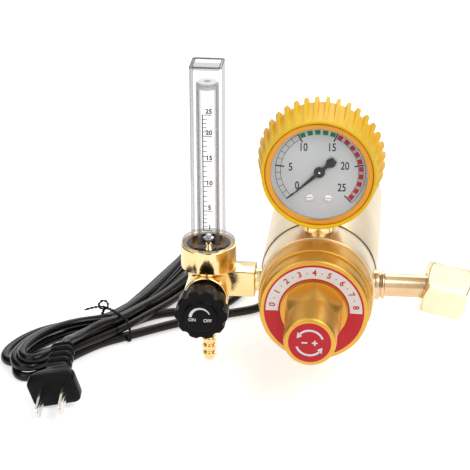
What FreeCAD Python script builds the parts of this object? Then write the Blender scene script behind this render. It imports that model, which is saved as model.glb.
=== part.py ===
"""Heated carbon dioxide regulator with a high-pressure gauge and a tube flowmeter.

The model is laid out on the regulator's own axes: X runs from the outlet (left) to the inlet
(right), Y from the front cap to the back of the heater barrel, Z up. The regulator axis is the
Y axis, and Y = 0 is the bonnet's front face. Every piece is moved by -ORIGIN when it is saved,
so that the saved parts have their origin at the middle of the union nut's mouth.
"""
import FreeCAD, Part
import math
import os

V = FreeCAD.Vector
UP = V(0, 0, 1)
RIGHT = V(1, 0, 0)
BACK = V(0, 1, 0)

# Clearances
RUN = 0.06                      # turning or sliding fit, on the radius
GAP = 0.3                       # between pieces that move past each other

# Bonnet, front cap and labels, along the regulator axis
BONNET_LENGTH = 24.8
BONNET_STEP_IN = 1.0            # rear band, inside the body's radius
BONNET_STEP = 1.2               # front band, inside the rear one
BONNET_STEP_Y = 10.8            # back of the groove between the bands
BONNET_GROOVE = 0.6
SHOULDER_IN = 2.6               # front band to the flat front face
SHOULDER = 3.2                  # depth of the rounded shoulder
NECK_R = 11.2                   # threaded neck that the cap screws on
NECK_LENGTH = 28.0
BONNET_WALL = 5.0
DIAPHRAGM_SEAT = 6.0            # width of the diaphragm's clamped edge
LABEL_T = 0.3
LABEL_MARGIN = 0.2
CAP_FLANGE_R = 17.8
CAP_FLANGE_T = 1.6
CAP_HEX = 30.0                  # across flats
CAP_HEX_TURN = 5.0              # degrees, clockwise from a corner straight up
CAP_HEX_LENGTH = 12.6           # flange to the end of the cone
CAP_CONE = 8.5                  # length of the cone that ends the hexagon
CAP_R = 13.9
CAP_LENGTH = 36.9
CAP_END_WALL = 2.4
CAP_EDGE = 2.0
CAP_LABEL_R = 11.2

# Spring column inside the neck
SCREW_R = 8.9
SCREW_LENGTH = 8.0
SCREW_Y = -27.0                 # front face as set
SOCKET = 8.0                    # hexagon socket, across flats
SOCKET_DEPTH = 4.5
BUTTON_T = 3.0
SPIGOT_R = 5.4                  # spigots that centre the spring
SPIGOT_LENGTH = 3.2
SPRING_R = 7.0
SPRING_WIRE = 2.2
SPRING_TURNS = 6
COIL_STEPS = 12                 # straight pieces in each turn of a spring
PLATE_GAP = 6.0                 # diaphragm plate to the chamber's wall
PLATE_T = 3.0

# Diaphragm joint
SEAT_Y = 19.8                   # front face of the body's spigot
DIAPHRAGM_T = 1.2
SLIP_T = 0.8
SKIRT_WALL = 6.0                # body wall outside the thread with the bonnet
STUD_R = 3.0
STUD_LENGTH = 2.8

# Regulator body and valve
BODY_R = 32.0
BODY_BACK_Y = 45.5
PORT_Y = 36.55                  # inlet, outlet and gauge ports lie in this plane
LOW_ROOM_DEPTH = 4.0
NOZZLE_R = 6.0
NOZZLE_LENGTH = 5.7
NOZZLE_LIP_R = 3.0
NOZZLE_LIP = 1.5
NOZZLE_BORE_R = 1.8
CHAMBER_R = 5.6
CHAMBER_DEPTH = 11.5
PIN_R = 1.25
POPPET_R = 4.5
POPPET_LENGTH = 4.9
POPPET_GAP = 0.1
POPPET_SPRING_R = 2.9
POPPET_SPRING_WIRE = 0.8
POPPET_SPRING_TURNS = 4
PORT_R = 2.5
CROSS_DRILL_X = -16.0

# Heater barrel
SEAM_T = 0.6
BARREL_STEP = 0.5               # barrel's radius over the body's
BARREL_WALL = 2.0
BARREL_END_Y = 156.0
BODY_SPIGOT = 6.0               # how far the body reaches into the barrel
END_CAP_PLUG = 8.0
END_CAP_T = 2.5
END_CAP_EDGE = 1.2
CORE_R = 17.0
CORE_ROOM = 12.5                # behind the core
CORE_FIN_R = 23.0
CORE_FINS = 6
CORE_FIN_T = 2.5
ELEMENT_R = 6.0
ELEMENT_INSET = 4.0             # from each end of the core
SLEEVE_WALL = 5.0
THERMOSTAT_R = 7.0
THERMOSTAT_T = 5.0
THERMOSTAT_Z = 10.0
GLAND_R = 6.0
GLAND_FLANGE_R = 9.0
GLAND_FLANGE_T = 3.0
GLAND_TAPER = 22.0
GLAND_TIP_R = 4.2

# Inlet nipple and union nut
PIPE_R = 6.35
PIPE_COLLAR_R = 8.4
PIPE_COLLAR = 2.2               # each of the two collars against the body
PIPE_GROOVE = 0.7
PIPE_BORE_R = 2.5
PIPE_THREAD = 9.0               # screwed into the body
PIPE_SHOWS = 29.0               # body to the middle of the nut's small bore
NUT_DROOP = 12.2                # degrees: the loose nut hangs down on the pipe
NUT_HEX = 28.0
NUT_TURN = 24.0                 # degrees, a corner of the hexagon from straight forward
NUT_LENGTH = 23.5
NUT_WALL = 5.0
NUT_BORE_R = 7.15
NUT_THREAD_R = 10.3             # minor radius of a G5/8 thread
NUT_THREAD = 10.0
NUT_RELIEF_R = 11.4
NUT_EDGE = 1.4                  # chamfer on the nut's corners
NIPPLE_HEAD_R = 8.0
NIPPLE_HEAD = 3.0
NIPPLE_HEAD_X = 4.7             # from the middle of the nut's bore
WASHER_R = 7.6
WASHER_T = 1.5
FILTER_R = 4.0
FILTER_LENGTH = 9.0

# Flowmeter
ARM = 15.0                      # square arm
ARM_LENGTH = 26.3               # to the middle of the cup
OUT_SHOWS = 2.6                 # body to the arm
OUT_NIPPLE_R = 4.9
OUT_BORE_R = 2.0
OUT_COLLAR_R = 6.4
OUT_THREAD = 7.0
VALVE_R = 12.5                  # horizontal valve housing
VALVE_Z = -4.8
VALVE_FRONT_Y = 18.6
VALVE_BACK_Y = 48.5
CUP_R = 15.4
CUP_FOOT_Z = 7.2
CUP_FLOOR_Z = 11.0
CUP_TOP_Z = 21.3
TUBE_THREAD_R = 12.3
TUBE_DISC_R = 14.7
TUBE_DISC_T = 2.5
TUBE_SIDE = 17.5
TUBE_CORNER = 1.6
TUBE_TOP_Z = 125.8
TUBE_BORE_R = 6.2
TUBE_BORE_TOP = 9.8             # solid end above the bore
TUBE_RIM = 1.5
TUBE_RECESS = 2.2
SEAL_T = 1.5
INNER_R = 5.4
INNER_BORE_LOW_R = 3.4
INNER_BORE_HIGH_R = 4.5
INNER_TOP_Z = 114.5
FLOAT_R = 2.9
FLOAT_Z = 21.0                  # lowest point at rest
FLOAT_LENGTH = 5.6
JET_R = 1.0                     # gas holes under and over the float
STOP_LENGTH = 3.0
CHAMBER_VALVE_R = 5.0
SEAT_BORE_R = 1.5
VALVE_SEAT_Y = 30.0
RETURN_X = 9.2                  # return drilling from the middle of the cup
RETURN_R = 1.2
STEM_R = 3.0
STEM_NOSE_R = 2.5
KNOB_Y = -2.5                   # front of the knob's rim
KNOB_BACK_Y = 8.5
KNOB_R = 14.4
KNOB_FLUTES = 10
KNOB_FLUTE_R = 2.4
KNOB_FLUTE_AT = 15.0
KNOB_EDGE = 1.2
KNOB_DISC_R = 9.0
KNOB_DISC_T = 2.2
KNOB_HOLLOW_R = 9.6
KNOB_HOLLOW = 4.0
KNOB_SCREW_R = 2.6
KNOB_SCREW_T = 1.8
GLAND_NUT_HEX = 14.0
GLAND_NUT = 6.2
GLAND_NUT_THREAD = 4.5
STEM_SEAL_T = 2.0
BARB_TIP_Z = -50.0
BARB_HEX = 12.0
BARB_HEX_T = 5.0
BARB_NECK_R = 3.1
BARB_CREST_R = 4.15
BARB_TIP_R = 2.9
BARB_BORE_R = 1.7
BARB_PITCH = 4.6
BARB_COUNT = 4
BARB_THREAD = 6.0
BARB_THREAD_R = 4.4

# Gauge
STEM_BOSS_R = 8.0
STEM_BOSS_RISE = 4.0            # over the body
STEM_SHOWS = 4.0                # boss to the case
GAUGE_STEM_R = 6.4
GAUGE_THREAD_R = 6.0
GAUGE_THREAD = 10.0
CASE_FRONT_Y = 27.4
CASE_BACK_Y = 52.0
CASE_R = 28.0
CASE_WALL = 1.2
BEZEL_WALL = 1.3
BEZEL_LIP = 2.0                 # over the window's edge
BEZEL_T = 1.2
BEZEL_DEPTH = 2.4
BOOT_FRONT_Y = 25.0
BOOT_BACK_Y = 55.0
BOOT_RIM = 1.7                  # flat front rim
BOOT_WALL = 4.0
BOOT_RIB = 3.0                  # height of a rib at the back
BOOT_RIB_T = 2.0
BOOT_RIBS = 36
BOOT_BACK_LIP = 6.0
BOOT_LIP = 1.0                  # the front edge's roll inwards
WINDOW_T = 1.8
DIAL_T = 0.6
DIAL_Y = 31.4
DIAL_SCREW_X = 5.0
DIAL_SCREW_RISE = 4.0           # over the lowest stretch of the Bourdon tube
DIAL_SCREW_R = 1.7
POINTER_Y = 29.9
POINTER_T = 0.5
POINTER_LENGTH = 22.0
POINTER_TAIL = 9.0
POINTER_ZERO = 225.0            # degrees from the right, anticlockwise, seen from the front
POINTER_TIP = 0.15              # half widths along the pointer
POINTER_WIDE = 1.1
POINTER_WAIST = 0.8
POINTER_WAIST_X = 4.5
SPADE = 2.4
SPADE_X = 6.0
SPADE_END = 1.6
POINTER_HUB_R = 2.6
ARBOR_R = 0.8
TUBE_ROOM = 9.0                 # middle of the Bourdon tube to the case's outside
TUBE_ARC_Y = 46.2
TUBE_FLAT_R = 1.6
TUBE_WIDE_R = 3.2
MOVEMENT_Y = 36.0
MOVEMENT_WIDTH = 16.0
MOVEMENT_HEIGHT = 24.0
MOVEMENT_LOW = 2.2              # under the dial screws
MOVEMENT_PLATE = 1.2
MOVEMENT_DEPTH = 5.0            # front plate to rear plate
MOVEMENT_POST_R = 1.6
MOVEMENT_POST_X = 5.5
SOCKET_WIDTH = 11.0
SOCKET_FRONT_Y = 34.5
SOCKET_BACK_Y = 49.5

# Power cord, lying on a surface
FLOOR_Z = -51.5
CORD_R = 2.6
HANK_TOP_Z = -36.0
TIE_AT = (-121.0, 62.5)
TIE_TURN = 45.0
TIE_LENGTH = 3.0
TIE_SPAN = 27.0
PLUG_AT = V(-135.8, -28.5, -40.1)
PLUG_YAW = 1.7
PLUG_PITCH = 13.0
PLUG_ROLL = 13.5
PLUG_WIDTH = 26.8
PLUG_HEIGHT = 19.0
PLUG_CORNER = 4.0
PLUG_PLATE = 6.5
PLUG_TAPER = 11.0
NECK_WIDTH = 13.6
NECK_HEIGHT = 9.6
PLUG_NECK = 19.0
NECK_RINGS = 4
NECK_RING_DEPTH = 0.9
NECK_RING_WIDTH = 2.0
BLADE_PITCH = 12.7
BLADE_T = 1.5
BLADE_WIDTH = 6.3
BLADE_LENGTH = 17.0
BLADE_ROOT = 8.0
BLADE_POINT = 1.6

# Worked out from the sizes above
SCREW_BORE_R = SCREW_R + RUN
BONNET_R = BODY_R - BONNET_STEP_IN
BONNET_STEP_R = BONNET_R - BONNET_STEP
BONNET_GROOVE_R = BONNET_STEP_R - BONNET_GROOVE
FACE_R = BONNET_STEP_R - SHOULDER_IN
SKIRT_R = BODY_R - SKIRT_WALL
PLATE_ROOM_R = SKIRT_R - DIAPHRAGM_SEAT
PLATE_R = PLATE_ROOM_R - PLATE_GAP
BARREL_R = BODY_R + BARREL_STEP
NUT_X = BODY_R + PIPE_SHOWS
ARM_X = -BODY_R - OUT_SHOWS
FLOW_X = ARM_X - ARM_LENGTH
STEM_BOSS_Z = BODY_R + STEM_BOSS_RISE
GAUGE_THREAD_Z = BODY_R - GAUGE_THREAD
GAUGE_Z = STEM_BOSS_Z + STEM_SHOWS + CASE_R
BEZEL_R = CASE_R + BEZEL_WALL
BEZEL_LIP_R = CASE_R - BEZEL_LIP
BOOT_RIM_R = BEZEL_R + BOOT_RIM
BOOT_VALLEY_R = CASE_R + BOOT_WALL
BOOT_RIB_R = BOOT_VALLEY_R + BOOT_RIB
BOOT_BACK_HOLE_R = CASE_R - BOOT_BACK_LIP
TUBE_ARC_R = CASE_R - TUBE_ROOM
DIAL_SCREW_DROP = TUBE_ARC_R - DIAL_SCREW_RISE
CORE_Y = BODY_BACK_Y + BODY_SPIGOT
CORE_END_Y = BARREL_END_Y - END_CAP_PLUG - CORE_ROOM
CAP_BACK_Y = -GAP
BUTTON_Y = SCREW_Y + SCREW_LENGTH + GAP
SPRING_FRONT_Y = BUTTON_Y + BUTTON_T
DIAPHRAGM_Y = SEAT_Y - DIAPHRAGM_T
SLIP_Y = DIAPHRAGM_Y - SLIP_T
PLATE_Y = DIAPHRAGM_Y - PLATE_T
LOW_ROOM_Y = SEAT_Y + LOW_ROOM_DEPTH
NOZZLE_BACK_Y = LOW_ROOM_Y + NOZZLE_LENGTH
POPPET_Y = NOZZLE_BACK_Y + NOZZLE_LIP + POPPET_GAP
CHAMBER_BACK_Y = NOZZLE_BACK_Y + CHAMBER_DEPTH
BARREL_Y = BODY_BACK_Y + SEAM_T
BARREL_BORE_R = BARREL_R - BARREL_WALL
GLAND_TIP_Y = BARREL_END_Y + END_CAP_T + GLAND_FLANGE_T + GLAND_TAPER
DROOP = math.radians(NUT_DROOP)
NUT_AXIS = V(math.cos(DROOP), 0, -math.sin(DROOP))
NUT_PIVOT = V(NUT_X, PORT_Y, 0)
NUT_FRONT = NUT_LENGTH - NUT_WALL / 2
ORIGIN = NUT_PIVOT + NUT_AXIS * NUT_FRONT
NIPPLE_END_X = NUT_X + NIPPLE_HEAD_X + NIPPLE_HEAD
FLOW_AT = V(FLOW_X, PORT_Y, 0)
VALVE_FOOT_Z = VALVE_Z - VALVE_R
GAUGE_AT = V(0, 0, GAUGE_Z)

# The cord's route along its middle: out of the gland, down behind the barrel, forward under
# it, and left across the surface to the tied hank
CORD_Z = FLOOR_Z + CORD_R
LEAD_ROUTE = [
    V(0, GLAND_TIP_Y, 0),
    V(0, 206, 0),
    V(-8.8, 223, -14.3),
    V(-21.2, 223, -34.7),
    V(-30, 206, CORD_Z),
    V(-26, 183, CORD_Z),
    V(-24.5, 160, CORD_Z),
    V(-26, 137, CORD_Z),
    V(-31, 115, CORD_Z),
    V(-42, 97, CORD_Z),
    V(-60, 86, CORD_Z),
    V(-80, 78, CORD_Z),
]
TAIL_START = 14.0               # straight out of the plug's neck
TAIL_POINTS = [V(-133.5, 35.5, -31.4), V(-126.5, 49, -37.5)]

# Outline of the tied hank as it lies, seen from above
HANK_OUTLINE = [
    (-165, 1), (-151, 11), (-137, 28), (-119, 47), (-104, 60), (-84, 68), (-62, 80),
    (-46, 101), (-41, 130), (-44, 160), (-58, 186), (-79, 197), (-97, 188), (-107, 155),
    (-116, 118), (-130, 86), (-150, 71), (-168, 52), (-179, 30), (-176, 11),
]


def placed(shape, at, along=UP, spin=0.0):
    """Move a shape made on the Z axis to a point and turn its axis along a direction."""
    turn = FreeCAD.Rotation(UP, along) * FreeCAD.Rotation(UP, spin)
    shape.Placement = FreeCAD.Placement(at, turn)
    return shape


def turned(profile, at=V(0, 0, 0), along=BACK):
    """Revolve (radius, distance) points about an axis; four numbers make an arc by a point."""
    edges = []
    last = profile[0]
    for item in profile[1:] + [profile[0][:2]]:
        start = V(last[0], 0, last[1])
        end = V(item[0], 0, item[1])
        if len(item) == 4:
            edges.append(Part.Arc(start, V(item[2], 0, item[3]), end).toShape())
        else:
            edges.append(Part.LineSegment(start, end).toShape())
        last = item
    solid = Part.Face(Part.Wire(edges)).revolve(V(0, 0, 0), UP, 360)
    return placed(solid, at, along)


def rod(radius, start, end, at=V(0, 0, 0), along=BACK):
    """Make a plain cylinder between two distances along an axis."""
    return placed(Part.makeCylinder(radius, end - start), at + along * start, along)


def ring(outer, inner, start, end, at=V(0, 0, 0), along=BACK):
    """Make a plain ring between two distances along an axis."""
    return turned([(inner, start), (outer, start), (outer, end), (inner, end)], at, along)


def hexagon(flats, start, end, at=V(0, 0, 0), along=BACK, spin=0.0):
    """Make a hexagonal prism of a size across its flats, with a corner at angle spin."""
    corner = flats / math.sqrt(3)
    points = [V(corner * math.cos(k * math.pi / 3), corner * math.sin(k * math.pi / 3), 0)
              for k in range(7)]
    prism = Part.Face(Part.makePolygon(points)).extrude(V(0, 0, end - start))
    return placed(prism, at + along * start, along, spin)


def rounded_slab(width, height, corner, start, end):
    """Make a rectangle with rounded corners, centred on Z, between two heights."""
    slab = Part.makeBox(width, height, end - start, V(-width / 2, -height / 2, start))
    upright = [e for e in slab.Edges if abs(e.tangentAt(e.FirstParameter).z) > 0.9]
    return slab.makeFillet(corner, upright)


def coil(radius, wire, start, end, turns):
    """Make a compression spring of six-sided wire between two planes on the regulator axis."""
    rise = end - start - wire
    slope = rise / (turns * 2 * math.pi * radius)
    corner_r = wire / math.sqrt(3)
    steps = turns * COIL_STEPS
    sections = []
    for k in range(steps + 1):
        turn = 2 * math.pi * k / COIL_STEPS
        out = V(math.cos(turn), math.sin(turn), 0)
        across = V(slope * out.y, -slope * out.x, 1).normalize()
        middle = out * radius + UP * (rise * k / steps)
        sections.append(Part.makePolygon([
            middle + out * (corner_r * math.cos(j * math.pi / 3))
            + across * (corner_r * math.sin(j * math.pi / 3)) for j in range(7)]))
    return placed(Part.makeLoft(sections, True, True), BACK * (start + wire / 2), BACK)


def cord_path(points):
    """Join points by straight runs and tangent arcs, and print the arcs' radii."""
    edges = []
    radii = []
    start = points[0]
    for before, corner, after in zip(points, points[1:], points[2:]):
        back_run = before - corner
        next_run = after - corner
        half_turn = (math.pi - back_run.getAngle(next_run)) / 2
        reach = 0.45 * min(back_run.Length, next_run.Length)
        radius = reach / math.tan(half_turn)
        first = corner + back_run.normalize() * reach
        last = corner + next_run.normalize() * reach
        inward = (back_run + next_run).normalize()
        middle = corner + inward * (radius / math.cos(half_turn) - radius)
        edges.append(Part.LineSegment(start, first).toShape())
        edges.append(Part.Arc(first, middle, last).toShape())
        radii.append(round(radius, 1))
        start = last
    edges.append(Part.LineSegment(start, points[-1]).toShape())
    print("bend radii", radii)
    return Part.Wire(edges)


def cord_tube(points):
    """Sweep the round cord along a route and print its length and volume ratio."""
    path = cord_path(points)
    section = Part.Wire(Part.makeCircle(CORD_R, points[0], points[1] - points[0]))
    tube = path.makePipeShell([section], True, False)
    ratio = tube.Volume / (math.pi * CORD_R ** 2 * path.Length)
    print("cord length", round(path.Length, 1), "volume ratio", round(ratio, 4))
    return tube


def bonnet():
    """Spring housing: stepped round cover with a threaded neck for the front cap."""
    return turned([
        (SCREW_BORE_R, -NECK_LENGTH), (NECK_R, -NECK_LENGTH), (NECK_R, 0), (FACE_R, 0),
        (BONNET_STEP_R, SHOULDER, FACE_R + 0.75 * (BONNET_STEP_R - FACE_R), 0.25 * SHOULDER),
        (BONNET_STEP_R, BONNET_STEP_Y - 1.3), (BONNET_GROOVE_R, BONNET_STEP_Y - 0.9),
        (BONNET_GROOVE_R, BONNET_STEP_Y), (BONNET_R, BONNET_STEP_Y + 0.7),
        (BONNET_R, BONNET_LENGTH - 0.5), (BONNET_R - 0.5, BONNET_LENGTH),
        (SKIRT_R, BONNET_LENGTH), (SKIRT_R, SLIP_Y), (PLATE_ROOM_R, SLIP_Y),
        (PLATE_ROOM_R, BONNET_WALL), (SCREW_BORE_R, BONNET_WALL),
    ])


def front_cap():
    """Hexagonal screw cap over the neck, ending in a round nose."""
    flange_y = CAP_BACK_Y - CAP_FLANGE_T
    hex_end = flange_y - CAP_HEX_LENGTH
    corner = CAP_HEX / math.sqrt(3)
    flange = rod(CAP_FLANGE_R, flange_y, CAP_BACK_Y)
    prism = hexagon(CAP_HEX, hex_end, flange_y, spin=90 - CAP_HEX_TURN)
    limit = turned([(0, flange_y), (corner, flange_y), (corner, hex_end + CAP_CONE),
                    (CAP_R, hex_end), (0, hex_end)])
    nose = turned([(0, flange_y), (CAP_R, flange_y), (CAP_R, -CAP_LENGTH + CAP_EDGE),
                   (CAP_R - CAP_EDGE, -CAP_LENGTH,
                    CAP_R - 0.29 * CAP_EDGE, -CAP_LENGTH + 0.29 * CAP_EDGE),
                   (0, -CAP_LENGTH)])
    hollow = rod(NECK_R + GAP, -CAP_LENGTH + CAP_END_WALL, CAP_BACK_Y)
    return flange.fuse([prism.common(limit), nose]).cut(hollow).removeSplitter()


def adjusting_screw():
    """Threaded plug in the neck with a hexagon socket."""
    plug = rod(SCREW_R, SCREW_Y, SCREW_Y + SCREW_LENGTH)
    return plug.cut(hexagon(SOCKET, SCREW_Y, SCREW_Y + SOCKET_DEPTH))


def spring_button():
    """Seat between the adjusting screw and the main spring."""
    return turned([
        (0, BUTTON_Y), (SCREW_R - GAP, BUTTON_Y), (SCREW_R - GAP, SPRING_FRONT_Y),
        (SPIGOT_R, SPRING_FRONT_Y), (SPIGOT_R - 0.6, SPRING_FRONT_Y + SPIGOT_LENGTH),
        (0, SPRING_FRONT_Y + SPIGOT_LENGTH),
    ])


def diaphragm_plate():
    """Plate on the diaphragm with a spigot in the spring and a stud through the middle."""
    return turned([
        (0, PLATE_Y - SPIGOT_LENGTH), (SPIGOT_R - 0.6, PLATE_Y - SPIGOT_LENGTH),
        (SPIGOT_R, PLATE_Y), (PLATE_R, PLATE_Y), (PLATE_R, DIAPHRAGM_Y),
        (STUD_R, DIAPHRAGM_Y), (STUD_R, DIAPHRAGM_Y + STUD_LENGTH),
        (0, DIAPHRAGM_Y + STUD_LENGTH),
    ])


def regulator_body():
    """Brass body: diaphragm seat, valve chamber, and inlet, outlet and gauge ports."""
    body = turned([
        (0, LOW_ROOM_Y), (PLATE_ROOM_R, LOW_ROOM_Y), (PLATE_ROOM_R, SEAT_Y),
        (SKIRT_R, SEAT_Y), (SKIRT_R, BONNET_LENGTH), (BODY_R, BONNET_LENGTH),
        (BODY_R, BODY_BACK_Y), (BARREL_BORE_R, BODY_BACK_Y),
        (BARREL_BORE_R, CORE_Y), (0, CORE_Y),
    ])
    port = V(0, PORT_Y, 0)
    outlet_bottom = BODY_R - OUT_THREAD
    cuts = [
        rod(NOZZLE_R, LOW_ROOM_Y, NOZZLE_BACK_Y),
        rod(CHAMBER_R, NOZZLE_BACK_Y, CHAMBER_BACK_Y),
        rod(PORT_R, LOW_ROOM_Y, PORT_Y, V(CROSS_DRILL_X, 0, 0)),
        rod(PORT_R, 0, BODY_R, port, RIGHT),
        rod(PIPE_R, BODY_R - PIPE_THREAD, BODY_R + 1, port, RIGHT),
        rod(PORT_R, -CROSS_DRILL_X, outlet_bottom, port, -RIGHT),
        rod(OUT_NIPPLE_R, outlet_bottom, BODY_R + 1, port, -RIGHT),
        rod(PORT_R, 0, GAUGE_THREAD_Z, port, UP),
        rod(GAUGE_THREAD_R, GAUGE_THREAD_Z, BODY_R + 1, port, UP),
        placed(Part.makeCylinder(STEM_BOSS_R, 2), V(0, PORT_Y, BODY_R - 1)),
        placed(Part.makeCylinder(PIPE_COLLAR_R, 2), V(BODY_R - 1, PORT_Y, 0), RIGHT),
        placed(Part.makeCylinder(OUT_COLLAR_R, 2), V(-BODY_R + 1, PORT_Y, 0), -RIGHT),
    ]
    return body.cut(cuts)


def seat_nozzle():
    """Screwed-in valve seat with a raised lip."""
    lip_y = NOZZLE_BACK_Y + NOZZLE_LIP
    return turned([
        (NOZZLE_BORE_R, LOW_ROOM_Y), (NOZZLE_R, LOW_ROOM_Y), (NOZZLE_R, NOZZLE_BACK_Y),
        (CHAMBER_R - GAP, NOZZLE_BACK_Y), (NOZZLE_LIP_R, lip_y), (NOZZLE_BORE_R, lip_y),
    ])


def poppet():
    """Valve head behind the seat, hollow at the back for its spring."""
    back = POPPET_Y + POPPET_LENGTH
    spring_room = POPPET_SPRING_R + POPPET_SPRING_WIRE / 2 + 0.2
    return turned([
        (0, POPPET_Y), (POPPET_R - 0.8, POPPET_Y), (POPPET_R, POPPET_Y + 0.8),
        (POPPET_R, back), (spring_room, back), (spring_room, back - 2), (0, back - 2),
    ])


def barrel_end_cap():
    """Rear cover of the barrel with a hole for the cable gland."""
    plug_y = BARREL_END_Y - END_CAP_PLUG
    back = BARREL_END_Y + END_CAP_T
    return turned([
        (GLAND_R, plug_y + 4), (BARREL_BORE_R - 3, plug_y + 4), (BARREL_BORE_R - 3, plug_y),
        (BARREL_BORE_R, plug_y), (BARREL_BORE_R, BARREL_END_Y), (BARREL_R, BARREL_END_Y),
        (BARREL_R, back - END_CAP_EDGE), (BARREL_R - END_CAP_EDGE, back), (GLAND_R, back),
    ])


def heater_core():
    """Finned aluminium core, screwed against the body, with a bore for the element."""
    core = ring(CORE_R, ELEMENT_R, CORE_Y, CORE_END_Y)
    step = (CORE_END_Y - CORE_Y - CORE_FIN_T) / (CORE_FINS - 1)
    fins = [ring(CORE_FIN_R, CORE_R - 1, CORE_Y + k * step, CORE_Y + k * step + CORE_FIN_T)
            for k in range(CORE_FINS)]
    return core.fuse(fins)


def cable_gland():
    """Rubber gland: a plug in the end cap, a flange and a ribbed, tapered strain relief."""
    cover = BARREL_END_Y + END_CAP_T
    flange = cover + GLAND_FLANGE_T
    gland = turned([
        (CORD_R, cover - END_CAP_T - 2), (GLAND_R, cover - END_CAP_T - 2), (GLAND_R, cover),
        (GLAND_FLANGE_R, cover), (GLAND_FLANGE_R, flange - 0.8), (GLAND_FLANGE_R - 0.8, flange),
        (GLAND_R, flange), (GLAND_TIP_R, GLAND_TIP_Y), (CORD_R, GLAND_TIP_Y),
    ])
    grooves = [ring(GLAND_R + 1, CORD_R + 1.2, flange + y, flange + y + 1.4)
               for y in (4, 8, 12, 16)]
    return gland.cut(grooves)


def inlet_nipple():
    """Inlet pipe: two collars at the body and a head inside the union nut."""
    at = V(0, PORT_Y, 0)
    first = BODY_R - 1
    second = BODY_R + PIPE_COLLAR
    collar_end = second + PIPE_GROOVE + PIPE_COLLAR
    head_x = NIPPLE_END_X - NIPPLE_HEAD
    return turned([
        (PIPE_BORE_R, BODY_R - PIPE_THREAD), (PIPE_R, BODY_R - PIPE_THREAD), (PIPE_R, first),
        (PIPE_COLLAR_R, first), (PIPE_COLLAR_R, second), (PIPE_R + 0.6, second),
        (PIPE_R + 0.6, second + PIPE_GROOVE), (PIPE_COLLAR_R - 0.5, second + PIPE_GROOVE),
        (PIPE_COLLAR_R - 0.5, collar_end - 0.5), (PIPE_COLLAR_R - 1, collar_end),
        (PIPE_R, collar_end), (PIPE_R, head_x), (NIPPLE_HEAD_R, head_x),
        (NIPPLE_HEAD_R, NIPPLE_END_X), (FILTER_R, NIPPLE_END_X),
        (FILTER_R, NIPPLE_END_X - FILTER_LENGTH), (PIPE_BORE_R, NIPPLE_END_X - FILTER_LENGTH),
    ], at, RIGHT)


def union_nut():
    """Loose nut that screws onto the bottle's valve."""
    back = -NUT_WALL / 2
    corner = NUT_HEX / math.sqrt(3) + 0.05
    thread = NUT_FRONT - NUT_THREAD
    prism = hexagon(NUT_HEX, back, NUT_FRONT, NUT_PIVOT, NUT_AXIS, spin=90 + NUT_TURN)
    limit = turned([
        (0, back), (corner - NUT_EDGE, back), (corner, back + NUT_EDGE * 0.6),
        (corner, NUT_FRONT - NUT_EDGE * 0.6), (corner - NUT_EDGE, NUT_FRONT), (0, NUT_FRONT),
    ], NUT_PIVOT, NUT_AXIS)
    hollow = turned([
        (0, back), (NUT_BORE_R, back), (NUT_BORE_R, -back), (NUT_RELIEF_R, -back),
        (NUT_RELIEF_R, thread), (NUT_THREAD_R, thread), (NUT_THREAD_R, NUT_FRONT),
        (0, NUT_FRONT),
    ], NUT_PIVOT, NUT_AXIS)
    return prism.common(limit).cut(hollow)


def flowmeter_base():
    """Brass casting: square arm, valve housing and threaded cup for the tube."""
    arm = Part.makeBox(ARM_X - FLOW_X, ARM, ARM, V(FLOW_X, PORT_Y - ARM / 2, -ARM / 2))
    upright = [e for e in arm.Edges if abs(e.tangentAt(e.FirstParameter).x) > 0.9]
    arm = arm.makeChamfer(0.6, upright)
    housing = rod(VALVE_R, VALVE_FRONT_Y, VALVE_BACK_Y, V(FLOW_X, 0, VALVE_Z))
    cup = turned([
        (0, 0), (VALVE_R - 1, 0), (VALVE_R - 1, CUP_FOOT_Z), (CUP_R - 1.2, CUP_FOOT_Z),
        (CUP_R, CUP_FOOT_Z + 1.2), (CUP_R, CUP_TOP_Z - 0.5), (CUP_R - 0.5, CUP_TOP_Z),
        (0, CUP_TOP_Z),
    ], FLOW_AT, UP)
    valve_at = V(FLOW_X, 0, VALVE_Z)
    cuts = [
        rod(TUBE_THREAD_R, CUP_FLOOR_Z, CUP_TOP_Z, FLOW_AT, UP),
        rod(RETURN_R * 1.4, 0, CUP_FLOOR_Z, FLOW_AT, UP),
        rod(OUT_BORE_R, 0, ARM_X - OUT_THREAD - FLOW_X, FLOW_AT, RIGHT),
        rod(OUT_NIPPLE_R, ARM_X - OUT_THREAD - FLOW_X, ARM_X - FLOW_X, FLOW_AT, RIGHT),
        rod(CHAMBER_VALVE_R, VALVE_FRONT_Y, VALVE_SEAT_Y, valve_at),
        rod(SEAT_BORE_R, VALVE_SEAT_Y, PORT_Y, valve_at),
        rod(RETURN_R, VALVE_Z, CUP_FLOOR_Z, V(FLOW_X, PORT_Y - RETURN_X, 0), UP),
        rod(BARB_BORE_R, VALVE_FOOT_Z, VALVE_Z, FLOW_AT, UP),
        rod(BARB_THREAD_R, VALVE_FOOT_Z - 1, VALVE_FOOT_Z + BARB_THREAD, FLOW_AT, UP),
    ]
    return arm.fuse([housing, cup]).cut(cuts)


def gland_nut():
    """Hexagonal nut that holds the stem's seal in the valve housing."""
    at = V(FLOW_X, 0, VALVE_Z)
    front = VALVE_FRONT_Y - GLAND_NUT
    head = hexagon(GLAND_NUT_HEX, front, VALVE_FRONT_Y, at)
    thread = rod(CHAMBER_VALVE_R, VALVE_FRONT_Y, VALVE_FRONT_Y + GLAND_NUT_THREAD, at)
    bore = rod(STEM_R + RUN, front, VALVE_FRONT_Y + GLAND_NUT_THREAD, at)
    return head.fuse(thread).cut(bore)


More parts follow.
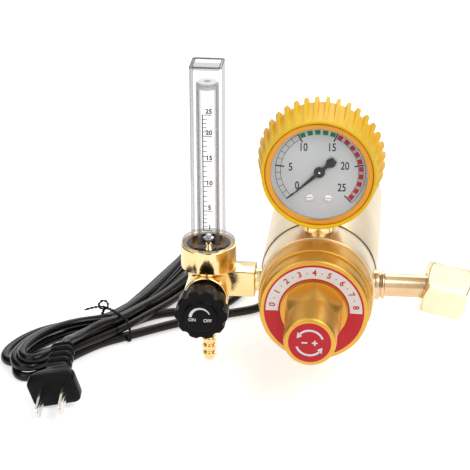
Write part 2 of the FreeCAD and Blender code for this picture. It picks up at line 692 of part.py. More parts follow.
def valve_stem():
    """Needle valve stem: a nose for the knob, a plain shaft and the needle."""
    nose_y = KNOB_Y + 1.2
    return turned([
        (0, nose_y), (STEM_NOSE_R, nose_y), (STEM_NOSE_R, KNOB_BACK_Y - KNOB_HOLLOW + GAP),
        (STEM_R, KNOB_BACK_Y - KNOB_HOLLOW + GAP), (STEM_R, VALVE_SEAT_Y - 3.2),
        (SEAT_BORE_R - 0.12, VALVE_SEAT_Y), (SEAT_BORE_R - 0.6, VALVE_SEAT_Y + 3),
        (0, VALVE_SEAT_Y + 3),
    ], V(FLOW_X, 0, VALVE_Z))


def flow_knob():
    """Fluted hand knob, hollow at the back."""
    at = V(FLOW_X, 0, VALVE_Z)
    disc_r = KNOB_DISC_R
    body = turned([
        (STEM_NOSE_R + RUN, KNOB_Y + 1.2), (KNOB_SCREW_R + 0.4, KNOB_Y + 1.2),
        (KNOB_SCREW_R + 0.4, KNOB_Y - KNOB_DISC_T + 1.2), (disc_r - 0.4, KNOB_Y - KNOB_DISC_T + 1.2),
        (disc_r, KNOB_Y), (KNOB_R - KNOB_EDGE, KNOB_Y), (KNOB_R, KNOB_Y + KNOB_EDGE),
        (KNOB_R, KNOB_BACK_Y - KNOB_EDGE), (KNOB_R - KNOB_EDGE, KNOB_BACK_Y),
        (KNOB_HOLLOW_R, KNOB_BACK_Y), (KNOB_HOLLOW_R, KNOB_BACK_Y - KNOB_HOLLOW),
        (STEM_NOSE_R + RUN, KNOB_BACK_Y - KNOB_HOLLOW),
    ], at)
    flutes = []
    for k in range(KNOB_FLUTES):
        turn = 2 * math.pi * k / KNOB_FLUTES
        spot = at + V(KNOB_FLUTE_AT * math.sin(turn), 0, KNOB_FLUTE_AT * math.cos(turn))
        flutes.append(rod(KNOB_FLUTE_R, KNOB_Y - 1, KNOB_BACK_Y + 1, spot))
    return body.cut(flutes)


def hose_barb():
    """Outlet tail: thread, hexagon and barbs for a hose."""
    foot = VALVE_FOOT_Z
    hex_foot = foot - BARB_HEX_T
    profile = [(BARB_BORE_R, foot + BARB_THREAD), (BARB_THREAD_R, foot + BARB_THREAD),
               (BARB_THREAD_R, hex_foot), (BARB_NECK_R, hex_foot)]
    for k in reversed(range(BARB_COUNT)):
        low = BARB_TIP_Z + k * BARB_PITCH
        end_r = BARB_TIP_R if k == 0 else BARB_NECK_R + 0.1
        profile += [(BARB_NECK_R, low + BARB_PITCH * 0.82), (BARB_CREST_R, low + BARB_PITCH * 0.78),
                    (BARB_CREST_R, low + BARB_PITCH * 0.55), (end_r, low)]
    profile.append((BARB_BORE_R, BARB_TIP_Z))
    tail = turned(profile, FLOW_AT, UP)
    nut = hexagon(BARB_HEX, hex_foot, foot, FLOW_AT, UP, spin=15)
    bore = rod(BARB_BORE_R, hex_foot, foot, FLOW_AT, UP)
    return tail.fuse(nut.cut(bore))


def outer_tube():
    """Clear square tube, moulded with its round foot and thread, closed at the top."""
    disc_top = CUP_TOP_Z + TUBE_DISC_T
    column = rounded_slab(TUBE_SIDE, TUBE_SIDE, TUBE_CORNER, disc_top - 1, TUBE_TOP_Z)
    recess_side = TUBE_SIDE - 2 * TUBE_RIM
    recess = rounded_slab(recess_side, recess_side, TUBE_CORNER / 2,
                          TUBE_TOP_Z - TUBE_RECESS, TUBE_TOP_Z + 1)
    column = column.cut(recess)
    column.Placement = FreeCAD.Placement(FLOW_AT, FreeCAD.Rotation())
    foot = turned([
        (0, CUP_FLOOR_Z + SEAL_T), (TUBE_THREAD_R, CUP_FLOOR_Z + SEAL_T),
        (TUBE_THREAD_R, CUP_TOP_Z), (TUBE_DISC_R, CUP_TOP_Z), (TUBE_DISC_R, disc_top - 0.8),
        (TUBE_DISC_R - 0.8, disc_top), (0, disc_top),
    ], FLOW_AT, UP)
    bore = rod(TUBE_BORE_R, CUP_FLOOR_Z, TUBE_TOP_Z - TUBE_BORE_TOP, FLOW_AT, UP)
    return column.fuse(foot).cut(bore)


def inner_tube():
    """Clear metering tube whose bore widens towards the top."""
    return turned([
        (INNER_BORE_LOW_R, CUP_FLOOR_Z), (INNER_R, CUP_FLOOR_Z), (INNER_R, INNER_TOP_Z),
        (INNER_BORE_HIGH_R, INNER_TOP_Z),
    ], FLOW_AT, UP)


def float_seat():
    """Jet in the foot of the metering tube that the float rests on."""
    return turned([
        (JET_R, CUP_FLOOR_Z), (INNER_BORE_LOW_R, CUP_FLOOR_Z), (INNER_BORE_LOW_R, FLOAT_Z - 3),
        (JET_R + 0.6, FLOAT_Z - 0.2), (JET_R, FLOAT_Z - 0.2),
    ], FLOW_AT, UP)


def metering_float():
    """Small turned float: cone, rim and stem."""
    return turned([
        (0, FLOAT_Z), (0.7, FLOAT_Z), (FLOAT_R, FLOAT_Z + 2.6), (FLOAT_R, FLOAT_Z + 3.4),
        (1.5, FLOAT_Z + 4.0), (1.5, FLOAT_Z + FLOAT_LENGTH - 0.5),
        (0, FLOAT_Z + FLOAT_LENGTH),
    ], FLOW_AT, UP)


def float_stop():
    """Perforated plug that keeps the float in the tube."""
    low = INNER_TOP_Z - STOP_LENGTH
    share = (low - CUP_FLOOR_Z) / (INNER_TOP_Z - CUP_FLOOR_Z)
    bore = INNER_BORE_LOW_R + share * (INNER_BORE_HIGH_R - INNER_BORE_LOW_R)
    return turned([
        (JET_R, low), (bore, low), (INNER_BORE_HIGH_R, INNER_TOP_Z), (INNER_R, INNER_TOP_Z),
        (INNER_R, INNER_TOP_Z + 1), (JET_R, INNER_TOP_Z + 1),
    ], FLOW_AT, UP)


def gauge_stem():
    """Gauge connection: thread, round boss, stem and the socket inside the case."""
    at = V(0, PORT_Y, 0)
    wall_z = GAUGE_Z - CASE_R + CASE_WALL
    foot_z = wall_z + 1
    waist_r = GAUGE_STEM_R - 2
    stem = turned([
        (1.0, GAUGE_THREAD_Z), (GAUGE_THREAD_R, GAUGE_THREAD_Z), (GAUGE_THREAD_R, BODY_R - 1),
        (STEM_BOSS_R, BODY_R - 1), (STEM_BOSS_R, STEM_BOSS_Z - 0.8),
        (STEM_BOSS_R - 0.8, STEM_BOSS_Z), (GAUGE_STEM_R, STEM_BOSS_Z),
        (GAUGE_STEM_R, wall_z), (waist_r, wall_z), (waist_r, foot_z), (1.0, foot_z),
    ], at, UP)
    socket_top = GAUGE_Z - TUBE_ARC_R + TUBE_FLAT_R
    socket = Part.makeBox(SOCKET_WIDTH, SOCKET_BACK_Y - SOCKET_FRONT_Y, socket_top - foot_z,
                          V(-SOCKET_WIDTH / 2, SOCKET_FRONT_Y, foot_z))
    return stem.fuse(socket).cut(bourdon_tube())


def gauge_case():
    """Metal gauge case, open at the front."""
    back = CASE_BACK_Y
    shell = turned([
        (CASE_R - CASE_WALL, CASE_FRONT_Y), (CASE_R, CASE_FRONT_Y), (CASE_R, back - 1),
        (CASE_R - 1, back), (0, back), (0, back - CASE_WALL),
        (CASE_R - CASE_WALL, back - CASE_WALL),
    ], GAUGE_AT)
    return shell.cut(rod(GAUGE_STEM_R, 0, GAUGE_Z, V(0, PORT_Y, 0), UP))


def gauge_boot():
    """Moulded protective boot with ribs that rise towards the back."""
    shell = turned([
        (BEZEL_R, BOOT_FRONT_Y + BOOT_LIP), (BEZEL_R + 0.3, BOOT_FRONT_Y + 0.3),
        (BEZEL_R + 0.9, BOOT_FRONT_Y), (BOOT_RIM_R - 0.6, BOOT_FRONT_Y),
        (BOOT_RIM_R, BOOT_FRONT_Y + 0.6), (BOOT_VALLEY_R, BOOT_BACK_Y - 2),
        (BOOT_VALLEY_R - 2, BOOT_BACK_Y), (BOOT_BACK_HOLE_R, BOOT_BACK_Y),
        (BOOT_BACK_HOLE_R, CASE_BACK_Y), (CASE_R - 1, CASE_BACK_Y),
        (CASE_R, CASE_BACK_Y - 1), (CASE_R, CASE_FRONT_Y + BEZEL_DEPTH),
        (BEZEL_R, CASE_FRONT_Y + BEZEL_DEPTH),
    ], GAUGE_AT)
    front = BOOT_FRONT_Y + 1.5
    root = BOOT_RIM_R - 1.2
    half = BOOT_RIB_T / 2
    side = Part.makePolygon([
        V(root, front, -half), V(BOOT_RIM_R, front, -half),
        V(BOOT_RIB_R, BOOT_BACK_Y - 5, -half), V(BOOT_RIB_R, BOOT_BACK_Y - 0.8, -half),
        V(BOOT_RIB_R - 0.8, BOOT_BACK_Y, -half), V(root, BOOT_BACK_Y, -half),
        V(root, front, -half),
    ])
    rib = Part.Face(side).extrude(V(0, 0, BOOT_RIB_T))
    ribs = []
    for k in range(BOOT_RIBS):
        one = rib.copy()
        one.rotate(V(0, 0, 0), BACK, 360 * (k + 0.5) / BOOT_RIBS)
        one.translate(GAUGE_AT)
        ribs.append(one)
    stem_hole = rod(STEM_BOSS_R + 0.2, 0, GAUGE_Z, V(0, PORT_Y, 0), UP)
    return shell.fuse(ribs).cut(stem_hole)


def gauge_bezel():
    """Pressed ring that holds the window on the case."""
    return turned([
        (BEZEL_LIP_R, CASE_FRONT_Y - BEZEL_T), (BEZEL_R - 0.5, CASE_FRONT_Y - BEZEL_T),
        (BEZEL_R, CASE_FRONT_Y - BEZEL_T + 0.5), (BEZEL_R, CASE_FRONT_Y + BEZEL_DEPTH),
        (CASE_R, CASE_FRONT_Y + BEZEL_DEPTH), (CASE_R, CASE_FRONT_Y),
        (BEZEL_LIP_R, CASE_FRONT_Y),
    ], GAUGE_AT)


def gauge_dial():
    """Dial plate with a hole for the arbor."""
    plate = ring(CASE_R - CASE_WALL, ARBOR_R + 0.6, DIAL_Y, DIAL_Y + DIAL_T, GAUGE_AT)
    holes = [rod(DIAL_SCREW_R / 2, DIAL_Y, DIAL_Y + DIAL_T, dial_screw_at(side))
             for side in (-1, 1)]
    return plate.cut(holes)


def dial_screw_at(side):
    """Give the middle of a dial screw on one side of the dial."""
    return V(side * DIAL_SCREW_X, 0, GAUGE_Z - DIAL_SCREW_DROP)


def dial_screws():
    """Two small slotted screws that hold the dial to the movement."""
    screws = []
    for side in (-1, 1):
        at = dial_screw_at(side)
        head = rod(DIAL_SCREW_R, DIAL_Y - 0.7, DIAL_Y, at)
        shank = rod(DIAL_SCREW_R / 2, DIAL_Y, MOVEMENT_Y, at)
        slot = Part.makeBox(DIAL_SCREW_R * 2, 0.4, 0.4, at + V(-DIAL_SCREW_R, DIAL_Y - 0.7, -0.2))
        screws.append(head.fuse(shank).cut(slot))
    return Part.makeCompound(screws)


def gauge_pointer():
    """Pointer with a spade tail, hub and arbor, drawn pointing right and turned to zero."""
    outline = Part.makePolygon([
        V(POINTER_LENGTH, 0, -POINTER_TIP), V(POINTER_LENGTH, 0, POINTER_TIP),
        V(0, 0, POINTER_WIDE), V(-POINTER_WAIST_X, 0, POINTER_WAIST), V(-SPADE_X, 0, SPADE),
        V(-POINTER_TAIL, 0, SPADE_END), V(-POINTER_TAIL, 0, -SPADE_END),
        V(-SPADE_X, 0, -SPADE), V(-POINTER_WAIST_X, 0, -POINTER_WAIST),
        V(0, 0, -POINTER_WIDE), V(POINTER_LENGTH, 0, -POINTER_TIP),
    ])
    blade = Part.Face(outline).extrude(V(0, POINTER_T, 0))
    blade.translate(V(0, POINTER_Y, 0))
    hub = rod(POINTER_HUB_R, POINTER_Y - 0.4, POINTER_Y + 0.9)
    arbor = rod(ARBOR_R, POINTER_Y + 0.9, MOVEMENT_Y + MOVEMENT_DEPTH + MOVEMENT_PLATE)
    pointer = blade.fuse([hub, arbor])
    pointer.rotate(V(0, 0, 0), BACK, -POINTER_ZERO)
    pointer.translate(GAUGE_AT)
    return pointer


def gauge_movement():
    """Movement frame: two plates on posts, with bearings for the arbor."""
    low = -DIAL_SCREW_DROP - MOVEMENT_LOW
    rear_y = MOVEMENT_Y + MOVEMENT_DEPTH
    plates = [Part.makeBox(MOVEMENT_WIDTH, MOVEMENT_PLATE, MOVEMENT_HEIGHT,
                           V(-MOVEMENT_WIDTH / 2, y, low)) for y in (MOVEMENT_Y, rear_y)]
    posts = [rod(MOVEMENT_POST_R, MOVEMENT_Y, rear_y + MOVEMENT_PLATE / 2,
                 V(x, 0, low + MOVEMENT_POST_R + 1)) for x in (-MOVEMENT_POST_X, MOVEMENT_POST_X)]
    frame = plates[0].fuse([plates[1]] + posts).cut(rod(ARBOR_R + RUN, DIAL_Y, CASE_BACK_Y))
    frame.translate(GAUGE_AT)
    return frame


def bourdon_tube():
    """Flattened C-shaped tube that uncurls under pressure."""
    section = Part.Ellipse(V(0, 0, 0), TUBE_WIDE_R, TUBE_FLAT_R).toShape()
    face = Part.Face(Part.Wire(section))
    face.rotate(V(0, 0, 0), UP, 90)
    face.rotate(V(0, 0, 0), BACK, 90)
    face.translate(V(0, TUBE_ARC_Y, -TUBE_ARC_R))
    face.rotate(V(0, 0, 0), BACK, 12)
    tube = face.revolve(V(0, 0, 0), BACK, 255)
    tube.translate(GAUGE_AT)
    return tube


def hank():
    """The coiled spare cord, as one closed solid of its outer shape."""
    points = [V(x, y, FLOOR_Z) for x, y in HANK_OUTLINE]
    curve = Part.BSplineCurve()
    curve.interpolate(Points=points, PeriodicFlag=True)
    return Part.Face(Part.Wire(curve.toShape())).extrude(V(0, 0, HANK_TOP_Z - FLOOR_Z))


def cord_tie():
    """Twist tie round the hank's waist."""
    height = HANK_TOP_Z - FLOOR_Z
    outer = Part.makeBox(TIE_LENGTH, TIE_SPAN, height + 1.2, V(-TIE_LENGTH / 2, -TIE_SPAN / 2, 0))
    inner = Part.makeBox(TIE_LENGTH, TIE_SPAN - 2.4, height - 1.2,
                         V(-TIE_LENGTH / 2, 1.2 - TIE_SPAN / 2, 1.2))
    band = outer.cut(inner)
    band.rotate(V(0, 0, 0), UP, TIE_TURN)
    band.translate(V(TIE_AT[0], TIE_AT[1], FLOOR_Z))
    return band


def plug_placement():
    """Give the plug's place: local Z points out of its face, local Y up."""
    turn = (FreeCAD.Rotation(UP, PLUG_YAW) * FreeCAD.Rotation(RIGHT, PLUG_PITCH)
            * FreeCAD.Rotation(-BACK, PLUG_ROLL) * FreeCAD.Rotation(RIGHT, 90))
    return FreeCAD.Placement(PLUG_AT, turn)


def plug_blades():
    """Two flat blades with bevelled tips."""
    blades = []
    tip = BLADE_LENGTH - BLADE_POINT
    for side in (-1, 1):
        middle = side * BLADE_PITCH / 2
        half = BLADE_WIDTH / 2
        outline = Part.makePolygon([
            V(middle, -half, -BLADE_ROOT), V(middle, half, -BLADE_ROOT), V(middle, half, tip),
            V(middle, half - BLADE_POINT, BLADE_LENGTH),
            V(middle, BLADE_POINT - half, BLADE_LENGTH), V(middle, -half, tip),
            V(middle, -half, -BLADE_ROOT),
        ])
        blade = Part.Face(outline).extrude(V(BLADE_T, 0, 0))
        blade.translate(V(-BLADE_T / 2, 0, 0))
        blades.append(blade)
    return blades


def plug_body(blades):
    """Moulded plug: face plate, tapered shoulders and a ringed neck."""
    plate = rounded_slab(PLUG_WIDTH, PLUG_HEIGHT, PLUG_CORNER, -PLUG_PLATE, 0)
    wires = []
    for width, height, corner, z in (
            (PLUG_WIDTH - 1, PLUG_HEIGHT - 1, PLUG_CORNER, -PLUG_PLATE),
            (NECK_WIDTH, NECK_HEIGHT, PLUG_CORNER, -PLUG_PLATE - PLUG_TAPER)):
        slab = rounded_slab(width, height, corner, z, z + 1)
        bottom = min(slab.Faces, key=lambda face: face.CenterOfMass.z)
        wires.append(bottom.OuterWire)
    shoulders = Part.makeLoft(wires, True, True)
    neck_z = -PLUG_PLATE - PLUG_TAPER
    end_z = neck_z - PLUG_NECK
    neck = rounded_slab(NECK_WIDTH, NECK_HEIGHT, PLUG_CORNER, end_z, neck_z)
    slim = rounded_slab(NECK_WIDTH - 2 * NECK_RING_DEPTH, NECK_HEIGHT - 2 * NECK_RING_DEPTH,
                        PLUG_CORNER - NECK_RING_DEPTH, end_z, neck_z)
    step = PLUG_NECK / NECK_RINGS
    for k in range(NECK_RINGS):
        low = neck_z - (k + 0.6) * step
        block = Part.makeBox(NECK_WIDTH + 1, NECK_HEIGHT + 1, NECK_RING_WIDTH,
                             V(-NECK_WIDTH / 2 - 0.5, -NECK_HEIGHT / 2 - 0.5, low))
        neck = neck.cut(block.cut(slim))
    return plate.fuse([shoulders, neck]).cut(blades)


def save(name, shape):
    """Move a piece to the saved origin and write it."""
    shape = shape.copy()
    shape.translate(-ORIGIN)
    solids = shape.Solids
    print(name, len(solids), "solid", round(shape.Volume, 1), "mm3", shape.isValid())
    shape.exportStep(f"parts/{name}.step")


def main():
    """Build every piece and write it."""
    os.makedirs("parts", exist_ok=True)
    save("bonnet", bonnet())
    save("bonnet_label", ring(FACE_R - LABEL_MARGIN, CAP_FLANGE_R + 0.5, -LABEL_T, 0))
    save("front_cap", front_cap())
    save("cap_label", rod(CAP_LABEL_R, -CAP_LENGTH - LABEL_T, -CAP_LENGTH))
    save("adjusting_screw", adjusting_screw())
    save("spring_button", spring_button())
    save("main_spring", coil(SPRING_R, SPRING_WIRE, SPRING_FRONT_Y, PLATE_Y, SPRING_TURNS))
    save("diaphragm_plate", diaphragm_plate())
    save("diaphragm", ring(SKIRT_R, STUD_R + 0.2, DIAPHRAGM_Y, SEAT_Y))
    save("slip_washer", ring(SKIRT_R, PLATE_ROOM_R, SLIP_Y, DIAPHRAGM_Y))
    save("push_pin", rod(PIN_R, DIAPHRAGM_Y + STUD_LENGTH, POPPET_Y))
    save("seat_nozzle", seat_nozzle())
    save("poppet", poppet())
    save("poppet_spring", coil(POPPET_SPRING_R, POPPET_SPRING_WIRE,
                               POPPET_Y + POPPET_LENGTH - 2, CHAMBER_BACK_Y, POPPET_SPRING_TURNS))
    save("regulator_body", regulator_body())
    save("body_seal", ring(BODY_R, BARREL_BORE_R, BODY_BACK_Y, BARREL_Y))
    save("heater_barrel", ring(BARREL_R, BARREL_BORE_R, BARREL_Y, BARREL_END_Y))
    save("barrel_end_cap", barrel_end_cap())
    save("heater_core", heater_core())
    save("heater_element", rod(ELEMENT_R, CORE_Y + ELEMENT_INSET, CORE_END_Y - ELEMENT_INSET))
    save("insulation_sleeve", ring(BARREL_BORE_R, BARREL_BORE_R - SLEEVE_WALL,
                                   CORE_Y, BARREL_END_Y - END_CAP_PLUG))
    save("thermostat", rod(THERMOSTAT_R, CORE_END_Y, CORE_END_Y + THERMOSTAT_T,
                           V(0, 0, THERMOSTAT_Z)))
    save("cable_gland", cable_gland())
    save("inlet_nipple", inlet_nipple())
    filter_at = V(0, PORT_Y, 0)
    save("inlet_filter", rod(FILTER_R, NIPPLE_END_X - FILTER_LENGTH, NIPPLE_END_X,
                             filter_at, RIGHT))
    save("inlet_washer", ring(WASHER_R, FILTER_R - 1, NIPPLE_END_X, NIPPLE_END_X + WASHER_T,
                              filter_at, RIGHT))
    save("union_nut", union_nut())
    outlet = V(0, PORT_Y, 0)
    nipple = ring(OUT_NIPPLE_R, OUT_BORE_R, ARM_X - OUT_THREAD, OUT_THREAD - BODY_R,
                  outlet, RIGHT)
    collar = ring(OUT_COLLAR_R, OUT_NIPPLE_R - 1, ARM_X, 1 - BODY_R, outlet, RIGHT)
    save("outlet_nipple", nipple.fuse(collar))
    save("flowmeter_base", flowmeter_base())
    save("gland_nut", gland_nut())
    seal_y = VALVE_FRONT_Y + GLAND_NUT_THREAD
    valve_at = V(FLOW_X, 0, VALVE_Z)
    save("stem_seal", ring(CHAMBER_VALVE_R, STEM_R + RUN, seal_y, seal_y + STEM_SEAL_T, valve_at))
    save("valve_stem", valve_stem())
    save("flow_knob", flow_knob())
    cap_y = KNOB_Y - KNOB_DISC_T
    save("knob_cap", turned([(0, cap_y), (KNOB_DISC_R - 1, cap_y), (KNOB_DISC_R - 0.4, cap_y + 0.6),
                             (KNOB_DISC_R - 0.4, cap_y + 1.2), (0, cap_y + 1.2)], valve_at))
    save("knob_screw", rod(KNOB_SCREW_R, KNOB_Y + 1.2 - KNOB_SCREW_T, KNOB_Y + 1.2 - GAP, valve_at))
    save("outer_tube", outer_tube())
    save("inner_tube", inner_tube())
    save("float_seat", float_seat())
    save("float", metering_float())
    save("float_stop", float_stop())
    save("tube_seal", ring(TUBE_THREAD_R, RETURN_X + 1.5, CUP_FLOOR_Z, CUP_FLOOR_Z + SEAL_T,
                           FLOW_AT, UP))
    save("hose_barb", hose_barb())
    save("gauge_stem", gauge_stem())
    save("gauge_case", gauge_case())
    save("gauge_boot", gauge_boot())
    save("gauge_bezel", gauge_bezel())
    save("gauge_window", rod(CASE_R - CASE_WALL, CASE_FRONT_Y, CASE_FRONT_Y + WINDOW_T, GAUGE_AT))
    save("gauge_dial", gauge_dial())
    save("dial_screws", dial_screws())
    save("gauge_pointer", gauge_pointer())
    save("gauge_movement", gauge_movement())
    save("bourdon_tube", bourdon_tube())
    blades = plug_blades()
    plug = plug_body(blades)
    place = plug_placement()
    plug.Placement = place
    pair = Part.makeCompound(blades)
    pair.Placement = place
    neck_z = -PLUG_PLATE - PLUG_TAPER - PLUG_NECK
    tail_start = [place.multVec(V(0, 0, neck_z)), place.multVec(V(0, 0, neck_z - TAIL_START))]
    save("cord_lead", cord_tube(LEAD_ROUTE))
    save("cord_hank", hank())
    save("cord_tie", cord_tie())
    save("cord_tail", cord_tube(tail_start + TAIL_POINTS))
    save("plug_body", plug)
    save("plug_blades", pair)
    print("origin", ORIGIN, "nut axis", NUT_AXIS, "tail start", tail_start)


main()
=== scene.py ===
"""Dresses the heated carbon dioxide regulator: skins, finishes, prints, cord, light and camera.

Sizes are in millimetres on the regulator's own axes: X from the outlet to the inlet, Y from the
front cap to the back of the heater barrel, Z up, with zero at the middle of the bonnet's face.
A seat turns them into the frame's metres.
"""
from __future__ import annotations

import logging
import math
from contextlib import contextmanager
from dataclasses import dataclass
from enum import Enum
from typing import Callable, Iterable, Iterator, Optional, Sequence

import bmesh
import bpy
from mathutils import Matrix, Vector

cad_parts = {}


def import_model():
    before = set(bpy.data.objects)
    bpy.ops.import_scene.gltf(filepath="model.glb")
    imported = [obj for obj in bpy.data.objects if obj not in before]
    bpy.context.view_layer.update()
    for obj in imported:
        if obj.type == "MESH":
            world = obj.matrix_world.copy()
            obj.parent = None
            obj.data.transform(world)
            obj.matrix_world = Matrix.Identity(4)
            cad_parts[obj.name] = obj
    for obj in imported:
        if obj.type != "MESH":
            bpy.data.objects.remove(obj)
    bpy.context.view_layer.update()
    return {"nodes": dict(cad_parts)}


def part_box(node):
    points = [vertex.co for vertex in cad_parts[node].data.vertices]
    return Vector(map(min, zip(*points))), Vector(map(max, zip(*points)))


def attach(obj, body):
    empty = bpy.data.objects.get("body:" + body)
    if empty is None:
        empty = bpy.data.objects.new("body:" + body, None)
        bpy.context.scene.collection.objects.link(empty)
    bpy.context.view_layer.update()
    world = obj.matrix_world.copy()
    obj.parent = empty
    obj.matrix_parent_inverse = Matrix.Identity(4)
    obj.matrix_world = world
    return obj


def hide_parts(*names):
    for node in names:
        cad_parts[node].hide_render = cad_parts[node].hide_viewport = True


LOG = logging.getLogger("regulator")
MM = 0.001
TURN = 2 * math.pi
WELD = 0.002                    # points nearer than this are one point
FINE_WELD = 0.0001              # the same for copies that stand apart
FINE, MEDIUM = 192, 96          # straight pieces round a large and a small turned form
PRINT_T = 0.03                  # thickness of ink
ARC_STEP = 2.5                  # degrees between the points of a printed arc
RELIEF = 0.6                    # strength of every finish's grain
FLAT_ON = 0.22                  # a clear face shows more from this facing on

Corner = Sequence[float]
Point2 = tuple[float, float]
Triple = tuple[float, float, float]
Section = Callable[[float, int, Point2], Point2]


class Bench:
    """The regulator's own axes inside the frame."""

    origin = Vector((0.0, 0.0, 0.0))
    floor_z = 0.0

    @classmethod
    def find(cls, barrel_y: float) -> None:
        """Find the axes from the heater barrel and the floor from the cord's hank.

        Args:
            barrel_y: Distance from the bonnet's face to the front of the barrel.
        """
        low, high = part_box("heater_barrel")
        middle = (low + high) / 2
        cls.origin = Vector((middle.x, low.y - barrel_y * MM, middle.z))
        cls.floor_z = (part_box("cord_hank")[0].z - cls.origin.z) / MM

    @classmethod
    def at(cls, x: float, y: float, z: float) -> Vector:
        """Return a place on the regulator's axes as a point of the frame."""
        return cls.origin + Vector((x, y, z)) * MM


@dataclass(frozen=True)
class Seat:
    """Where a shape's own Z axis and X axis go on the regulator's axes."""

    place: Triple = (0.0, 0.0, 0.0)
    axis: Triple = (0.0, -1.0, 0.0)
    side: Triple = (1.0, 0.0, 0.0)

    def matrix(self) -> Matrix:
        """Work out where the seat puts a shape.

        Returns:
            The matrix from the shape's millimetres to the frame's metres.
        """
        axis, side = Vector(self.axis).normalized(), Vector(self.side).normalized()
        turn = Matrix((side, axis.cross(side), axis)).transposed().to_4x4()
        place = Matrix.Translation(Bench.at(*self.place))
        return place @ turn @ Matrix.Scale(MM, 4)


FRONT = Seat()
UPRIGHT = Seat(axis=(0.0, 0.0, 1.0))


def add_node(tree: bpy.types.NodeTree, kind: str, inputs: Optional[dict] = None,
             **settings: object) -> bpy.types.Node:
    """Add a node to a tree.

    Args:
        tree: The tree.
        kind: The node's type.
        inputs: Plain values, or the sockets that feed them, by the input's name or number.
        settings: The node's own properties.

    Returns:
        The node.
    """
    node = tree.nodes.new(kind)
    for key, value in settings.items():
        setattr(node, key, value)
    for key, value in (inputs or {}).items():
        if isinstance(value, bpy.types.NodeSocket):
            tree.links.new(value, node.inputs[key])
        else:
            node.inputs[key].default_value = value
    return node


class Mixer:
    """Adds nodes to one material and joins them."""

    def __init__(self, name: str) -> None:
        """Start a material with a plain shader.

        Args:
            name: The material's name.
        """
        self.material = bpy.data.materials.new(name)
        self.material.use_nodes = True
        self.tree = self.material.node_tree
        self.shader = self.tree.nodes["Principled BSDF"]

    def put(self, name: str, value: object) -> None:
        """Set a plain value on the shader's own socket."""
        self.shader.inputs[name].default_value = value

    def feed(self, name: str, socket: bpy.types.NodeSocket) -> None:
        """Join a socket to one of the shader's inputs."""
        self.tree.links.new(socket, self.shader.inputs[name])

    def noise(self, spread: Sequence[float], detail: float = 2.0) -> bpy.types.NodeSocket:
        """Add noise on the piece's own coordinates.

        Args:
            spread: Cells per metre along X, Y and Z.
            detail: Finer octaves.

        Returns:
            The noise's value.
        """
        place = add_node(self.tree, "ShaderNodeTexCoord")
        stretch = add_node(self.tree, "ShaderNodeMapping", {
            "Vector": place.outputs["Object"], "Scale": spread})
        noise = add_node(self.tree, "ShaderNodeTexNoise", {
            "Vector": stretch.outputs["Vector"], "Scale": 1.0, "Detail": detail})
        return noise.outputs["Fac"]

    def between(self, value: bpy.types.NodeSocket, low: float, high: float,
                start: float = 0.3, end: float = 0.7) -> bpy.types.NodeSocket:
        """Spread a value between two others.

        Args:
            value: The value to spread.
            low: Result at start.
            high: Result at end.
            start: Where the spread begins.
            end: Where the spread ends.

        Returns:
            The spread value.
        """
        spread = add_node(self.tree, "ShaderNodeMapRange", {
            "Value": value, "From Min": start, "From Max": end, "To Min": low, "To Max": high})
        return spread.outputs["Result"]

    def blend(self, factor: bpy.types.NodeSocket, first: Triple,
              second: Triple) -> bpy.types.NodeSocket:
        """Mix two colours by a value.

        Args:
            factor: How much of the second colour shows.
            first: The colour at 0.
            second: The colour at 1.

        Returns:
            The mixed colour.
        """
        mix = add_node(self.tree, "ShaderNodeMix", {
            0: factor, 6: (*first, 1.0), 7: (*second, 1.0)}, data_type="RGBA")
        return mix.outputs[2]

    def relief(self, height: bpy.types.NodeSocket, depth: float) -> None:
        """Raise the surface by a value.

        Args:
            height: The value that is the height.
            depth: Height of the value's full range, in metres.
        """
        bump = add_node(self.tree, "ShaderNodeBump", {
            "Strength": RELIEF, "Distance": depth, "Height": height})
        self.feed("Normal", bump.outputs["Normal"])


@dataclass(frozen=True)
class Surface:
    """A finish: two close colours in soft patches, a range of roughness and a fine grain."""

    colour: Triple
    tint: Triple
    rough: Point2
    metallic: float = 0.0
    patches: float = 45.0
    grain: Triple = (900.0, 900.0, 900.0)
    depth: float = 0.00002
    coat: float = 0.0
    coat_rough: float = 0.1
    sheen: float = 0.0
    clear: float = 0.0              # how much shows of a clear face seen square on
    edge: float = 0.0               # and of one seen along it
    ior: float = 1.5
    shine: float = 0.5

    def material(self, name: str) -> bpy.types.Material:
        """Make the surface's material, or return it if it is there.

        Args:
            name: The material's name.

        Returns:
            The material.
        """
        if name in bpy.data.materials:
            return bpy.data.materials[name]
        mixer = Mixer(name)
        patches = mixer.noise((self.patches,) * 3)
        mixer.feed("Base Color", mixer.blend(mixer.between(patches, 0, 1), self.colour, self.tint))
        # a clear finish shows its colour more where its face is seen along it: painted reflection
        # and painted shade in place of real glass
        if self.clear:
            mixer.put("Roughness", self.rough[0])
            weight = add_node(mixer.tree, "ShaderNodeLayerWeight", {"Blend": 0.5})
            mixer.feed("Alpha", mixer.between(weight.outputs["Facing"], self.clear, self.edge,
                                              FLAT_ON, 1.0))
        else:
            grain = mixer.noise(self.grain, 3.0)
            mixer.feed("Roughness", mixer.between(grain, *self.rough))
            mixer.relief(grain, self.depth)
        for socket, value in (("Metallic", self.metallic), ("IOR", self.ior),
                              ("Specular IOR Level", self.shine), ("Coat Weight", self.coat),
                              ("Coat Roughness", self.coat_rough), ("Sheen Weight", self.sheen)):
            mixer.put(socket, value)
        return mixer.material


